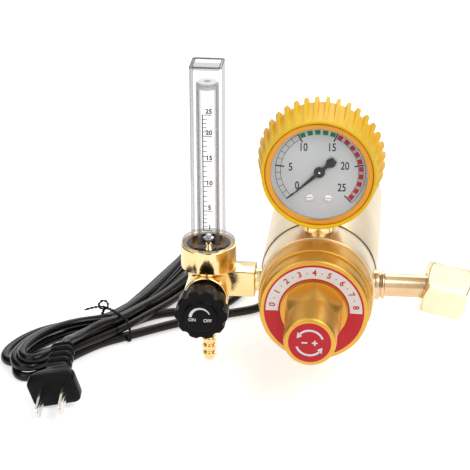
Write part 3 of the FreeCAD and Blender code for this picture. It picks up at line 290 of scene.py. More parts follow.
class Finish(Enum):
    """The finishes that the pieces wear."""

    GOLD_LACQUER = Surface((0.74, 0.40, 0.06), (0.80, 0.46, 0.085),
                           (0.38, 0.46), metallic=0.85, depth=0.000006, coat=0.12, coat_rough=0.2)
    BRUSHED_GOLD = Surface((0.84, 0.68, 0.44), (0.88, 0.76, 0.56),
                           (0.28, 0.42), metallic=0.9, grain=(40.0, 2600.0, 40.0), depth=0.00001)
    BRIGHT_BRASS = Surface((0.90, 0.66, 0.30), (0.94, 0.73, 0.40),
                           (0.10, 0.20), metallic=1.0, grain=(700.0, 700.0, 700.0), depth=0.000006)
    NUT_BRASS = Surface((0.84, 0.74, 0.48), (0.90, 0.82, 0.60),
                        (0.18, 0.32), metallic=1.0, grain=(120.0, 2200.0, 2200.0), depth=0.000012)
    PIPE_BRASS = Surface((0.70, 0.48, 0.27), (0.78, 0.57, 0.35),
                         (0.14, 0.24), metallic=1.0, grain=(700.0,) * 3, depth=0.000004)
    LABEL_RED = Surface((0.62, 0.022, 0.032), (0.68, 0.03, 0.04), (0.35, 0.45),
                        shine=0.3)
    LABEL_WHITE = Surface((0.88, 0.86, 0.85), (0.92, 0.91, 0.90), (0.35, 0.45))
    YELLOW_RUBBER = Surface((0.96, 0.56, 0.008), (0.98, 0.64, 0.014),
                            (0.42, 0.55), grain=(1400.0,) * 3, depth=0.000012, shine=0.3)
    GOLD_TRIM = Surface((0.66, 0.28, 0.03), (0.72, 0.33, 0.045),
                        (0.28, 0.34), metallic=0.8, depth=0.000002)
    # CLEAR_WINDOW's pale colour, which shows more where the pane is seen along it, is a painted
    # reflection on the window
    CLEAR_WINDOW = Surface((0.80, 0.82, 0.84), (0.76, 0.78, 0.80),
                           (0.04, 0.04), clear=0.02, edge=0.2, ior=1.3)
    # CLEAR_PLASTIC and CLEAR_RIM are dark grey that shows most where a face is seen along it:
    # painted shade and painted reflection along the clear tube's walls and rims
    CLEAR_PLASTIC = Surface((0.21, 0.19, 0.20), (0.26, 0.24, 0.25),
                            (0.05, 0.05), clear=0.025, edge=0.85, ior=1.3, shine=0.15)
    CLEAR_RIM = Surface((0.10, 0.09, 0.095), (0.16, 0.15, 0.15), (0.1, 0.1),
                        clear=0.45, edge=0.8, ior=1.3, shine=0.2)
    DIAL_WHITE = Surface((0.68, 0.71, 0.72), (0.75, 0.77, 0.78), (0.45, 0.55),
                         shine=0.3)
    DIAL_GREEN = Surface((0.008, 0.22, 0.075), (0.012, 0.26, 0.09), (0.4, 0.5),
                         shine=0.2)
    DIAL_RED = Surface((0.55, 0.012, 0.02), (0.60, 0.02, 0.03), (0.4, 0.5),
                       shine=0.2)
    INK_BLACK = Surface((0.01, 0.01, 0.011), (0.02, 0.02, 0.022), (0.4, 0.5),
                        shine=0.2)
    INK_WHITE = Surface((0.86, 0.86, 0.87), (0.90, 0.90, 0.90), (0.4, 0.5))
    POINTER_BLACK = Surface((0.012, 0.011, 0.011), (0.02, 0.02, 0.02),
                            (0.3, 0.4), shine=0.3)
    BLACK_PLASTIC = Surface((0.004, 0.004, 0.005), (0.007, 0.007, 0.008),
                            (0.25, 0.36), grain=(1600.0,) * 3, depth=0.00001, shine=0.10)
    BLACK_RUBBER = Surface((0.006, 0.006, 0.006), (0.011, 0.010, 0.010),
                           (0.42, 0.55), grain=(1200.0,) * 3, depth=0.00003, shine=0.2)
    CORD_JACKET = Surface((0.004, 0.004, 0.004), (0.008, 0.007, 0.007),
                          (0.20, 0.28), grain=(500.0,) * 3, depth=0.000002, shine=0.3)
    STEEL = Surface((0.66, 0.66, 0.67), (0.74, 0.74, 0.75), (0.18, 0.30), metallic=1.0,
                    depth=0.000003)
    NICKEL = Surface((0.72, 0.70, 0.66), (0.80, 0.78, 0.74), (0.14, 0.24),
                     metallic=1.0, grain=(1500.0, 100.0, 1500.0), depth=0.000003)
    CORE_ALUMINIUM = Surface((0.70, 0.71, 0.73), (0.78, 0.79, 0.80),
                             (0.25, 0.4), metallic=1.0, depth=0.000004)
    WHITE_FIBRE = Surface((0.80, 0.78, 0.72), (0.88, 0.86, 0.80), (0.8, 0.95),
                          grain=(1800.0,) * 3, depth=0.0002, sheen=0.3)
    WHITE_PLASTIC = Surface((0.82, 0.82, 0.81), (0.87, 0.87, 0.86), (0.3, 0.4))

    def material(self) -> bpy.types.Material:
        """Return the finish's material."""
        return self.value.material(f"{self.name.lower()}_finish")


def rounded(corners: Iterable[Corner], steps: int = 4) -> list[Point2]:
    """Round the corners of a closed outline.

    Args:
        corners: Points of two numbers, or three where the third is the corner's radius.
        steps: Straight pieces in each rounded corner.

    Returns:
        The outline's points.
    """
    corners = list(corners)
    outline: list[Point2] = []
    for k, corner in enumerate(corners):
        here = Vector(corner[:2])
        if len(corner) < 3:
            outline.append(tuple(here))
            continue
        back = Vector(corners[k - 1][:2]) - here
        ahead = Vector(corners[(k + 1) % len(corners)][:2]) - here
        half = back.angle(ahead) / 2
        reach = min(corner[2] / math.tan(half), 0.49 * back.length, 0.49 * ahead.length)
        radius = reach * math.tan(half)
        back.normalize()
        ahead.normalize()
        middle = here + (back + ahead).normalized() * (radius / math.sin(half))
        first, last = here + back * reach - middle, here + ahead * reach - middle
        sweep = first.angle(last)
        for step in range(steps + 1):
            share = step / steps
            point = (first * math.sin((1 - share) * sweep)
                     + last * math.sin(share * sweep)) / math.sin(sweep)
            outline.append(tuple(middle + point))
    return outline


def soft_min(first: float, second: float, sharp: float) -> float:
    """Return the smaller of two lengths, with the edge between them softened.

    Args:
        first: One length.
        second: The other.
        sharp: How sharp the edge is, per millimetre.

    Returns:
        The softened smaller length.
    """
    low, high = min(first, second), max(first, second)
    return low - math.log1p(math.exp(-sharp * (high - low))) / sharp


def hexagon(flats: float, sharp: float, inner: float, low: float = -math.inf,
            high: float = math.inf) -> Section:
    """Return the section of a turned form that ends as a hexagon.

    Args:
        flats: Size across the flats.
        sharp: How sharp the edges are, per millimetre.
        inner: Points nearer the axis than this stay.
        low: Points that aren't higher than this stay.
        high: Points that aren't lower than this stay.

    Returns:
        The section.
    """
    sixth = TURN / 6

    def section(theta: float, number: int, point: Point2) -> Point2:
        """Press the flats into the turned form.

        Args:
            theta: The point's angle.
            number: Its number in the outline. Not used.
            point: Its radius and distance.

        Returns:
            The radius and distance that it gets.
        """
        radius, z = point
        if radius < inner or not low < z < high:
            return point
        return soft_min(radius, flats / 2 / math.cos(theta % sixth - sixth / 2), sharp), z

    return section


def polar(radius: float, angle: float) -> Point2:
    """Return the point at a radius and an angle in degrees, from X towards Y."""
    turn = math.radians(angle)
    return radius * math.cos(turn), radius * math.sin(turn)


@contextmanager
def edited(mesh: bpy.types.Mesh) -> Iterator[bmesh.types.BMesh]:
    """Open a mesh for changes, and write them back.

    Args:
        mesh: The mesh.

    Returns:
        The open mesh, for the length of a with block.
    """
    shape = bmesh.new()
    shape.from_mesh(mesh)
    yield shape
    shape.to_mesh(mesh)
    shape.free()


def grid_mesh(name: str, rows: Sequence[Sequence[Vector]], wrap: bool,
              wrap_rows: bool) -> bpy.types.Mesh:
    """Join rows of points with faces.

    Args:
        name: The mesh's name.
        rows: Rows of equally many points.
        wrap: Whether each row closes on itself.
        wrap_rows: Whether the last row joins the first.

    Returns:
        The mesh.
    """
    mesh = bpy.data.meshes.new(name)
    width, count = len(rows[0]), len(rows)
    with edited(mesh) as shape:
        grid = [[shape.verts.new(point) for point in row] for row in rows]
        for k in range(count if wrap_rows else count - 1):
            for j in range(width if wrap else width - 1):
                here, there = grid[k], grid[(k + 1) % count]
                shape.faces.new((here[j], here[(j + 1) % width], there[(j + 1) % width], there[j]))
        bmesh.ops.remove_doubles(shape, verts=shape.verts, dist=WELD)
    return mesh


def turned(profile: Sequence[Corner], steps: int = 128, section: Optional[Section] = None,
           sides: int = 1, angles: Optional[Sequence[float]] = None,
           start: float = 0.0) -> bpy.types.Mesh:
    """Turn an outline of (radius, distance) points about Z, whole or as repeated sides.

    Args:
        profile: The outline, which closes on itself.
        steps: Straight pieces all the way round.
        section: Changes a point by its angle and number, within one side.
        sides: How many times one side is repeated round the axis.
        angles: The angles of one side, if they aren't even.
        start: Angle of the first side's start.

    Returns:
        The closed mesh.
    """
    outline = rounded(profile)
    if angles is None:
        count = steps // sides
        angles = [TURN / sides * k / count for k in range(count + 1)]
    rows = []
    for theta in angles[:-1] if sides == 1 else angles:
        row = []
        for number, point in enumerate(outline):
            radius, z = section(theta, number, point) if section else point
            turn = theta + start
            row.append(Vector((radius * math.cos(turn), radius * math.sin(turn), z)))
        rows.append(row)
    if sides == 1:
        return grid_mesh("turned", rows, True, True)
    side = grid_mesh("side", rows, True, False)
    return Repeat.ring(side, sides)


def slab(width: float, height: float, corner: float, layers: Sequence[Point2],
         steps: int = 6) -> bpy.types.Mesh:
    """Stack rounded rectangles along Z into a closed form.

    Args:
        width: Size along X.
        height: Size along Y.
        corner: Radius of the upright edges.
        layers: Distance along Z and inset of each layer.
        steps: Straight pieces in each rounded corner.

    Returns:
        The closed mesh.
    """
    return capped([rounded_row(width - 2 * inset, height - 2 * inset, max(corner - inset, 0.05),
                               z, steps) for z, inset in layers])


def rounded_row(width: float, height: float, corner: float, z: float,
                steps: int) -> list[Vector]:
    """Return the points of a rounded rectangle.

    Args:
        width: Size along X.
        height: Size along Y.
        corner: Radius of its corners.
        z: Distance along Z.
        steps: Straight pieces in each corner.

    Returns:
        The points in order.
    """
    x, y = width / 2, height / 2
    outline = rounded([(x, -y, corner), (x, y, corner), (-x, y, corner), (-x, -y, corner)], steps)
    return [Vector((*point, z)) for point in outline]


def capped(rows: Sequence[Sequence[Vector]]) -> bpy.types.Mesh:
    """Join closed rows into a tube and close its two ends with flat faces.

    Args:
        rows: Closed rows of equally many points.

    Returns:
        The closed mesh.
    """
    mesh = grid_mesh("stack", rows, True, False)
    with edited(mesh) as shape:
        edges = [edge for edge in shape.edges if edge.is_boundary]
        bmesh.ops.holes_fill(shape, edges=edges)
    return mesh


def plain(shape: bpy.types.Object) -> bpy.types.Mesh:
    """Turn an object with its modifiers into a plain mesh, and remove the object.

    Args:
        shape: The object.

    Returns:
        The mesh that its modifiers make.
    """
    bpy.context.view_layer.update()
    graph = bpy.context.evaluated_depsgraph_get()
    mesh = bpy.data.meshes.new_from_object(shape.evaluated_get(graph), depsgraph=graph)
    bpy.data.objects.remove(shape)
    return mesh


def bench_object(name: str, data: bpy.types.ID) -> bpy.types.Object:
    """Put data on an object in the scene.

    Args:
        name: The object's name.
        data: Its mesh, curve, lamp or camera.

    Returns:
        The object.
    """
    shape = bpy.data.objects.new(name, data)
    bpy.context.scene.collection.objects.link(shape)
    return shape


def cut_and_fused(first: bpy.types.Mesh, joined: Sequence[bpy.types.Mesh] = (),
                  cut: Sequence[bpy.types.Mesh] = ()) -> bpy.types.Mesh:
    """Join closed shapes and cut others out of them.

    Args:
        first: The shape to start from.
        joined: Shapes that are added.
        cut: Shapes that are taken away.

    Returns:
        The resulting mesh.
    """
    body = bench_object("fused", outward(first))
    tools = []
    for operation, meshes in (("UNION", joined), ("DIFFERENCE", cut)):
        for mesh in meshes:
            tool = bench_object("tool", outward(mesh))
            step = body.modifiers.new("step", "BOOLEAN")
            step.operation, step.object, step.solver = operation, tool, "EXACT"
            tools.append(tool)
    mesh = plain(body)
    for tool in tools:
        bpy.data.objects.remove(tool)
    return mesh


def outward(mesh: bpy.types.Mesh) -> bpy.types.Mesh:
    """Merge a mesh's doubles and point its faces outwards.

    Args:
        mesh: The mesh, which is changed.

    Returns:
        The same mesh.
    """
    with edited(mesh) as shape:
        bmesh.ops.remove_doubles(shape, verts=shape.verts, dist=WELD)
        bmesh.ops.recalc_face_normals(shape, faces=shape.faces)
    return mesh


def band(inner: float, outer: float, first: float, last: float,
         low: float = 0.0) -> bpy.types.Mesh:
    """Make a thin arc of a ring.

    Args:
        inner: Inner radius.
        outer: Outer radius.
        first: Angle of its start in degrees, from X towards Y.
        last: Angle of its end in degrees.
        low: Its underside along Z.

    Returns:
        The closed mesh.
    """
    high = low + PRINT_T
    whole = abs(last - first) >= 359.9
    count = max(2, int(abs(last - first) / ARC_STEP))
    rows = []
    for k in range(count + (0 if whole else 1)):
        angle = first + (last - first) * k / count
        rows.append([Vector((*polar(radius, angle), z)) for radius, z in (
            (inner, low), (outer, low), (outer, high), (inner, high))])
    return grid_mesh("band", rows, True, True) if whole else capped(rows)


def plate(outline: Sequence[Point2], low: float, thick: float = PRINT_T) -> bpy.types.Mesh:
    """Make a thin plate of an outline.

    Args:
        outline: Points in the plane.
        low: Its underside along Z.
        thick: Its thickness.

    Returns:
        The closed mesh.
    """
    return capped([[Vector((*point, z)) for point in outline] for z in (low, low + thick)])


def bar(left: float, bottom: float, right: float, top: float, low: float) -> bpy.types.Mesh:
    """Print a rectangle.

    Args:
        left: Its first side along X.
        bottom: Its first side along Y.
        right: Its other side along X.
        top: Its other side along Y.
        low: Its underside along Z.

    Returns:
        The closed mesh.
    """
    return plate([(left, bottom), (right, bottom), (right, top), (left, top)], low)


def smooth_curve(name: str, places: Sequence[Sequence[float]],
                 resolution: int) -> bpy.types.Curve:
    """Make a smooth curve along points.

    Args:
        name: The curve's name.
        places: The points that guide it.
        resolution: Straight pieces between two points.

    Returns:
        The curve.
    """
    curve = bpy.data.curves.new(name, "CURVE")
    curve.dimensions = "3D"
    curve.resolution_u = resolution
    spline = curve.splines.new("NURBS")
    spline.points.add(len(places) - 1)
    for spot, place in zip(spline.points, places):
        spot.co = (*place, 1.0)
    spline.order_u = 3
    spline.use_endpoint_u = True
    return curve


def lettering(text: str, size: float, x: float, y: float, low: float = 0.0,
              turn: float = 0.0, bold: float = 0.0, narrow: float = 1.0) -> bpy.types.Mesh:
    """Make plain figures as thin print.

    Args:
        text: The figures.
        size: Height of a line.
        x: Middle of the print along X.
        y: Middle of the print along Y.
        low: Its underside along Z.
        turn: Angle of the line in degrees.
        bold: How much each stroke is widened.
        narrow: Width of the figures as a share of their plain width.

    Returns:
        The print's mesh.
    """
    curve = bpy.data.curves.new("figures", "FONT")
    curve.body, curve.size, curve.offset = text, size, bold
    curve.align_x, curve.align_y = "CENTER", "CENTER"
    curve.extrude = PRINT_T / 2
    curve.resolution_u = 4
    mesh = plain(bench_object("figures", curve))
    bpy.data.curves.remove(curve)
    place = Matrix.Translation((x, y, low + PRINT_T / 2))
    mesh.transform(place @ Matrix.Rotation(math.radians(turn), 4, "Z")
                   @ Matrix.Diagonal((narrow, 1, 1, 1)))
    return mesh


class Repeat:
    """A Geometry Nodes tree that sets copies of a shape in a ring or a row and welds them."""

    tree: Optional[bpy.types.NodeTree] = None

    @classmethod
    def grow(cls) -> bpy.types.NodeTree:
        """Build the tree, or return it if it is there.

        Returns:
            The tree.
        """
        if cls.tree:
            return cls.tree
        tree = bpy.data.node_groups.new("repeat_shape", "GeometryNodeTree")
        face = tree.interface
        face.new_socket("Shape", in_out="INPUT", socket_type="NodeSocketGeometry")
        for name, kind, value in (("Count", "Int", 1), ("Turn", "Float", 0.0),
                                  ("Step", "Vector", (0, 0, 0)), ("Weld", "Float", WELD),
                                  ("Finish", "Material", None)):
            socket = face.new_socket(name, in_out="INPUT", socket_type=f"NodeSocket{kind}")
            if value is not None:
                socket.default_value = value
        face.new_socket("Shape", in_out="OUTPUT", socket_type="NodeSocketGeometry")
        given = add_node(tree, "NodeGroupInput").outputs
        index = add_node(tree, "GeometryNodeInputIndex").outputs[0]
        step = add_node(tree, "ShaderNodeVectorMath", {0: given["Step"], "Scale": index},
                        operation="SCALE")
        angle = add_node(tree, "ShaderNodeMath", {0: index, 1: given["Turn"]},
                         operation="MULTIPLY")
        about = add_node(tree, "ShaderNodeCombineXYZ", {"Z": angle.outputs[0]})
        points = add_node(tree, "GeometryNodePoints", {
            "Count": given["Count"], "Position": step.outputs[0]})
        copies = add_node(tree, "GeometryNodeInstanceOnPoints", {
            "Points": points.outputs[0], "Instance": given["Shape"],
            "Rotation": about.outputs[0]})
        real = add_node(tree, "GeometryNodeRealizeInstances", {0: copies.outputs[0]})
        weld = add_node(tree, "GeometryNodeMergeByDistance", {
            "Geometry": real.outputs[0], "Distance": given["Weld"]})
        dress = add_node(tree, "GeometryNodeSetMaterial", {
            "Geometry": weld.outputs[0], "Material": given["Finish"]})
        add_node(tree, "NodeGroupOutput", {0: dress.outputs[0]})
        cls.tree = tree
        return tree

    @classmethod
    def make(cls, shape: bpy.types.Mesh, **sizes: object) -> bpy.types.Mesh:
        """Run the tree on a shape.

        Args:
            shape: The mesh to repeat.
            sizes: Values of the tree's inputs, by name.

        Returns:
            The repeated, welded mesh.
        """
        carrier = bench_object("repeated", shape)
        step = carrier.modifiers.new("repeat", "NODES")
        step.node_group = cls.grow()
        for item in step.node_group.interface.items_tree:
            if item.in_out == "INPUT" and item.name in sizes:
                step[item.identifier] = sizes[item.name]
        return plain(carrier)

    @classmethod
    def ring(cls, shape: bpy.types.Mesh, count: int) -> bpy.types.Mesh:
        """Repeat one side of a form all the way round Z."""
        return cls.make(shape, Count=count, Turn=TURN / count)


@dataclass
class Piece:
    """One visible piece: meshes with their finishes, on one seat."""

    name: str
    slot: str
    body: str = "root"
    crease: float = 32.0

    def __post_init__(self) -> None:
        """Start with no parts."""
        self.parts: list[tuple[bpy.types.Mesh, Matrix, Finish]] = []

    def add(self, finish: Finish, seat: Seat, *meshes: bpy.types.Mesh) -> Piece:
        """Add meshes in one finish on one seat.

        Args:
            finish: What they wear.
            seat: Where they go.
            meshes: The meshes, in millimetres.

        Returns:
            The piece itself.
        """
        self.parts += [(mesh, seat.matrix(), finish) for mesh in meshes]
        return self

    def place(self, *nodes: str) -> bpy.types.Object:
        """Join the parts into one object that stands for some nodes of the frame.

        Args:
            nodes: The nodes that it replaces, if any.

        Returns:
            The finished object.
        """
        finishes: list[Finish] = []
        joined = bmesh.new()
        for mesh, matrix, finish in self.parts:
            if finish not in finishes:
                finishes.append(finish)
            outward(mesh)
            first = len(joined.faces)
            mesh.transform(matrix)
            joined.from_mesh(mesh)
            joined.faces.ensure_lookup_table()
            for face in joined.faces[first:]:
                face.material_index = finishes.index(finish)
            bpy.data.meshes.remove(mesh)
        mesh = bpy.data.meshes.new(self.name)
        joined.to_mesh(mesh)
        joined.free()
        for finish in finishes:
            mesh.materials.append(finish.material())
        mesh.shade_smooth()
        mesh.set_sharp_from_angle(angle=math.radians(self.crease))
        shape = bench_object(self.name, mesh)
        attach(shape, self.body)
        if nodes:
            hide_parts(*nodes)
        LOG.info("%s: %d faces on %s", self.name, len(mesh.polygons), self.body)
        return shape


@dataclass
class SpringHousing:
    """Bonnet with its printed ring, and the hexagonal front cap."""

    bonnet_r: float = 31.0
    step_r: float = 29.8
    groove_r: float = 29.2
    groove: float = 10.8
    face_r: float = 27.2
    depth: float = 24.8
    socket_r: float = 26.0          # socket for the regulator's body
    socket: float = 17.8
    room_r: float = 20.0            # room for the main spring
    face_t: float = 5.0
    neck_r: float = 11.2
    neck: float = 28.0
    bore_r: float = 8.96
    label_r: float = 27.0
    label_t: float = 0.3
    pale_ring: Point2 = (19.3, 26.0)
    figure_r: float = 22.6
    figure: float = 4.6
    first_angle: float = 172.0      # where the first figure stands
    figure_step: float = 20.5
    cap_back: float = 0.3
    flange_r: float = 17.8
    flange_t: float = 1.6
    hex_flats: float = 30.0
    hex_turn: float = 85.0
    hex_length: float = 12.6
    cone: float = 8.5
    nose_r: float = 13.9
    length: float = 36.9
    roof: float = 2.4
    disc_r: float = 11.2
    arrow: Point2 = (6.6, 7.7)
    arrow_head: Point2 = (5.5, 8.8)
    sign: tuple[float, ...] = (2.7, 1.5, 0.4)       # place and half sizes of plus and minus

    def bonnet(self) -> None:
        """Build the stepped round cover."""
        groove = self.groove
        Piece("bonnet_cover", "gold_lacquer").add(Finish.GOLD_LACQUER, FRONT, turned([
            (self.bore_r, self.neck), (self.neck_r, self.neck, 0.4), (self.neck_r, 0),
            (self.face_r - 0.6, 0), (self.step_r - 0.2, -0.1, 2.6),
            (self.step_r, -groove + 1.3, 0.3), (self.groove_r, -groove + 0.8),
            (self.groove_r, -groove), (self.bonnet_r, -groove - 0.1, 0.6),
            (self.bonnet_r, -self.depth, 0.5), (self.socket_r, -self.depth),
            (self.socket_r, -self.socket), (self.room_r, -self.socket),
            (self.room_r, -self.face_t), (self.bore_r, -self.face_t)], FINE)).place("bonnet")

    def label(self) -> None:
        """Build the red ring with its pale half band of plain figures."""
        top, inner = self.label_t, self.flange_r + 0.5
        piece = Piece("bonnet_ring_print", "label_print")
        piece.add(Finish.LABEL_RED, FRONT, turned([
            (inner, 0), (self.label_r, 0), (self.label_r, top, 0.1), (inner, top, 0.1)], FINE))
        piece.add(Finish.LABEL_WHITE, FRONT, band(*self.pale_ring, -1.0, 181.0, top))
        figures = []
        last, dot = 8, 0.4
        for number in range(last + 1):
            angle = self.first_angle - self.figure_step * number
            figures.append(lettering(str(number), self.figure, *polar(self.figure_r, angle),
                                     top + PRINT_T, angle - 90, 0.12))
            if number < last:
                middle = angle - self.figure_step / 2
                figures.append(band(self.figure_r - dot, self.figure_r + dot, middle - 0.65,
                                    middle + 0.65, top + PRINT_T))
        piece.add(Finish.LABEL_RED, FRONT, *figures)
        piece.place("bonnet_label")

    def cap(self) -> None:
        """Build the screw cap: flange, hexagon ended by a cone, and round nose."""
        foot = self.cap_back + self.flange_t
        end = foot + self.hex_length
        inner, roof = self.neck_r + 0.3, self.length - self.roof
        corner, steps = self.hex_flats / math.sqrt(3) + 0.35, 20
        cone = [(corner + (self.nose_r - corner) * k / steps,
                 end - self.cone + self.cone * k / steps) for k in range(steps)]
        mesh = turned([(inner, self.cap_back), (self.flange_r, self.cap_back, 0.3),
                       (self.flange_r, foot, 0.5), (corner, foot + 0.05), *cone,
                       (self.nose_r, end + 0.4), (self.nose_r, self.length, 2.0),
                       (0, self.length), (0, roof), (inner, roof)], FINE,
                      hexagon(self.hex_flats, 2.2, self.neck_r + 0.5, foot + 0.01, end - 0.01), 6,
                      start=math.radians(self.hex_turn))
        Piece("screw_cap", "gold_lacquer", "front_cap").add(
            Finish.GOLD_LACQUER, FRONT, mesh).place("front_cap")

    def disc(self) -> None:
        """Build the red disc on the cap, with a plain turning arrow, plus and minus."""
        low = self.length
        top = low + self.label_t
        piece = Piece("cap_disc_print", "label_print", "front_cap")
        piece.add(Finish.LABEL_RED, FRONT, turned([
            (0, low), (self.disc_r, low), (self.disc_r, top, 0.1), (0, top)], MEDIUM))
        marks = []
        for first in (20.0, 200.0):
            marks.append(band(*self.arrow, first, first + 118.0, top))
            head = [polar(radius, first + 116.0) for radius in self.arrow_head]
            marks.append(plate([*head, polar(sum(self.arrow_head) / 2, first + 140.0)], top))
        off, long, thin = self.sign
        marks += [bar(-off - long, -thin, -off + long, thin, top),
                  bar(off - long, -thin, off + long, thin, top),
                  bar(off - thin, -long, off + thin, long, top + 0.001)]
        piece.add(Finish.INK_WHITE, FRONT, *marks)
        piece.place("cap_label")

    def build(self) -> None:
        """Build every piece of the housing."""
        self.bonnet()
        self.label()
        self.cap()
        self.disc()


@dataclass
class HeaterBarrel:
    """Regulator body, seal, barrel, rear cover and cable gland."""

    body_r: float = 32.0
    body_front: float = 24.8
    body_back: float = 45.5
    spigot_r: float = 26.0          # the body's end in the bonnet
    spigot: float = 5.0
    recess_r: float = 20.0          # the recess behind the diaphragm
    recess: float = 4.0
    tail: float = 6.0               # the body's end in the barrel
    seam: float = 0.6
    barrel_r: float = 32.5
    barrel_end: float = 156.0
    wall: float = 2.0
    cover: float = 2.5
    gland_r: float = 6.0
    gland_tip_r: float = 4.2
    gland: float = 22.0
    gland_flange_r: float = 9.0
    gland_flange: float = 3.0
    cord_r: float = 2.6
    slots: tuple[float, ...] = (4.0, 8.0, 12.0, 16.0)
    slot: float = 1.4

    def build(self) -> None:
        """Build the turned pieces along the regulator's axis."""
        along = Seat(axis=(0, 1, 0))
        front, back, end = self.body_front, self.body_back, self.barrel_end
        wall, seal_r, step = self.barrel_r - self.wall, self.body_r + 0.25, end + 0.05
        low = front - self.spigot
        recess = low + self.recess
        Piece("body_block", "brushed_gold").add(Finish.BRUSHED_GOLD, along, turned([
            (0, recess), (self.recess_r, recess), (self.recess_r, low), (self.spigot_r, low),
            (self.spigot_r, front), (self.body_r, front, 0.4), (self.body_r, back, 0.5),
            (wall, back), (wall, back + self.tail), (0, back + self.tail)], FINE)
        ).place("regulator_body")
        Piece("seam_ring", "black_rubber").add(Finish.BLACK_RUBBER, along, turned([
            (wall, back), (seal_r, back), (seal_r, back + self.seam),
            (wall, back + self.seam)], FINE)).place("body_seal")
        Piece("barrel_sleeve", "brushed_gold").add(Finish.BRUSHED_GOLD, along, turned([
            (wall, back + self.seam), (self.barrel_r, back + self.seam, 0.5),
            (self.barrel_r, end, 0.3), (wall, end)], FINE)).place("heater_barrel")
        Piece("rear_cover", "brushed_gold").add(Finish.BRUSHED_GOLD, along, turned([
            (self.gland_r, end - 4), (wall - 3, end - 4), (wall - 3, end - 8), (wall, end - 8),
            (wall, step), (self.barrel_r, step, 0.2), (self.barrel_r, end + self.cover, 1.2),
            (self.gland_r, end + self.cover)], FINE)).place("barrel_end_cap")
        self.cable_gland(along)

    def cable_gland(self, along: Seat) -> None:
        """Build the ribbed, tapered strain relief.

        Args:
            along: The seat of what lies on the regulator's axis.
        """
        face = self.barrel_end + self.cover
        back, flange = face - 4.5, face + self.gland_flange
        slope = (self.gland_tip_r - self.gland_r) / self.gland
        profile = [(self.cord_r, back), (self.gland_r, back), (self.gland_r, face),
                   (self.gland_flange_r, face), (self.gland_flange_r, flange, 0.8),
                   (self.gland_r, flange)]
        for low in self.slots:
            high = low + self.slot
            for depth, edge in ((0.0, low), (self.slot, low), (self.slot, high), (0.0, high)):
                profile.append((self.gland_r + slope * edge - depth, flange + edge, 0.25))
        profile += [(self.gland_tip_r, flange + self.gland, 0.5),
                    (self.cord_r, flange + self.gland)]
        Piece("gland_sleeve", "black_rubber").add(
            Finish.BLACK_RUBBER, along, turned(profile, 64)).place("cable_gland")


@dataclass
class Inlet:
    """Inlet pipe and the loose union nut."""

    port_y: float = 36.55
    body_r: float = 32.0
    root_x: float = 23.0            # where the pipe starts in the body
    port_x: float = 31.0
    bore_r: float = 2.5
    pipe_r: float = 6.35
    collar_r: float = 8.4
    neck_r: float = 6.95
    head_x: float = 65.7
    head_r: float = 8.0
    filter_r: float = 4.0
    nut_x: float = 61.0
    nut_axis: Triple = (0.97741589, 0.0, -0.2113248)
    nut_flats: float = 28.0
    nut_back: float = -2.5
    nut_front: float = 21.0
    nut_turn: float = 24.0
    nut_bore_r: float = 7.15
    thread: Point2 = (10.3, 11.4)   # radii over its crests and in its grooves
    thread_end: float = 10.6
    pitch: float = 1.814

    def pipe(self) -> None:
        """Build the pipe with its two collars and its head."""
        seat = Seat((0, self.port_y, 0), (1, 0, 0), (0, 1, 0))
        first = self.body_r + 2.2
        second = first + 0.7
        third, small_r = second + 2.2, self.collar_r - 0.5
        end = self.head_x + 3
        Piece("inlet_pipe", "bright_brass").add(Finish.PIPE_BRASS, seat, turned([
            (self.bore_r, self.root_x), (self.pipe_r, self.root_x), (self.pipe_r, self.port_x),
            (self.collar_r, self.port_x), (self.collar_r, first, 0.4), (self.neck_r, first),
            (self.neck_r, second), (small_r, second, 0.3), (small_r, third, 0.6),
            (self.pipe_r, third, 0.4), (self.pipe_r, self.head_x), (self.head_r, self.head_x, 0.4),
            (self.head_r, end, 0.3), (self.filter_r, end), (self.filter_r, end - 9),
            (self.bore_r, end - 9)], MEDIUM)).place("inlet_nipple")

    def nut(self) -> None:
        """Build the hexagonal nut with chamfered corners and its inner thread."""
        back, front = self.nut_back, self.nut_front
        crest, root = self.thread
        corner = self.nut_flats / math.sqrt(3) + 0.1
        chamfer, reach, steps, rows = 1.6, 2.5, 8, 12
        profile = [(self.nut_bore_r, back, 0.3), (corner - 2.7, back, 0.3)]
        profile += [(corner - reach + reach * k / steps, back + chamfer * k / steps)
                    for k in range(1, steps + 1)]
        profile += [(corner, back + (front - back) * k / rows) for k in range(2, rows - 1)]
        profile += [(corner - reach * k / steps, front - chamfer + chamfer * k / steps)
                    for k in range(steps + 1)]
        profile.append((11.0, front, 0.3))
        depth = front - 0.6
        while depth - self.pitch > front - 10.0:
            profile += [(crest, depth), (root, depth - self.pitch / 2)]
            depth -= self.pitch
        profile += [(crest, depth), (root, front - self.thread_end), (root, -back),
                    (self.nut_bore_r, -back)]
        mesh = turned(profile, 144, hexagon(self.nut_flats, 7.0, 12.5), 6,
                      start=math.radians(-self.nut_turn))
        Piece("loose_nut", "bright_brass", "union_nut").add(
            Finish.NUT_BRASS, Seat((self.nut_x, self.port_y, 0), self.nut_axis, (0, 1, 0)), mesh
        ).place("union_nut")

    def build(self) -> None:
        """Build both pieces."""
        self.pipe()
        self.nut()


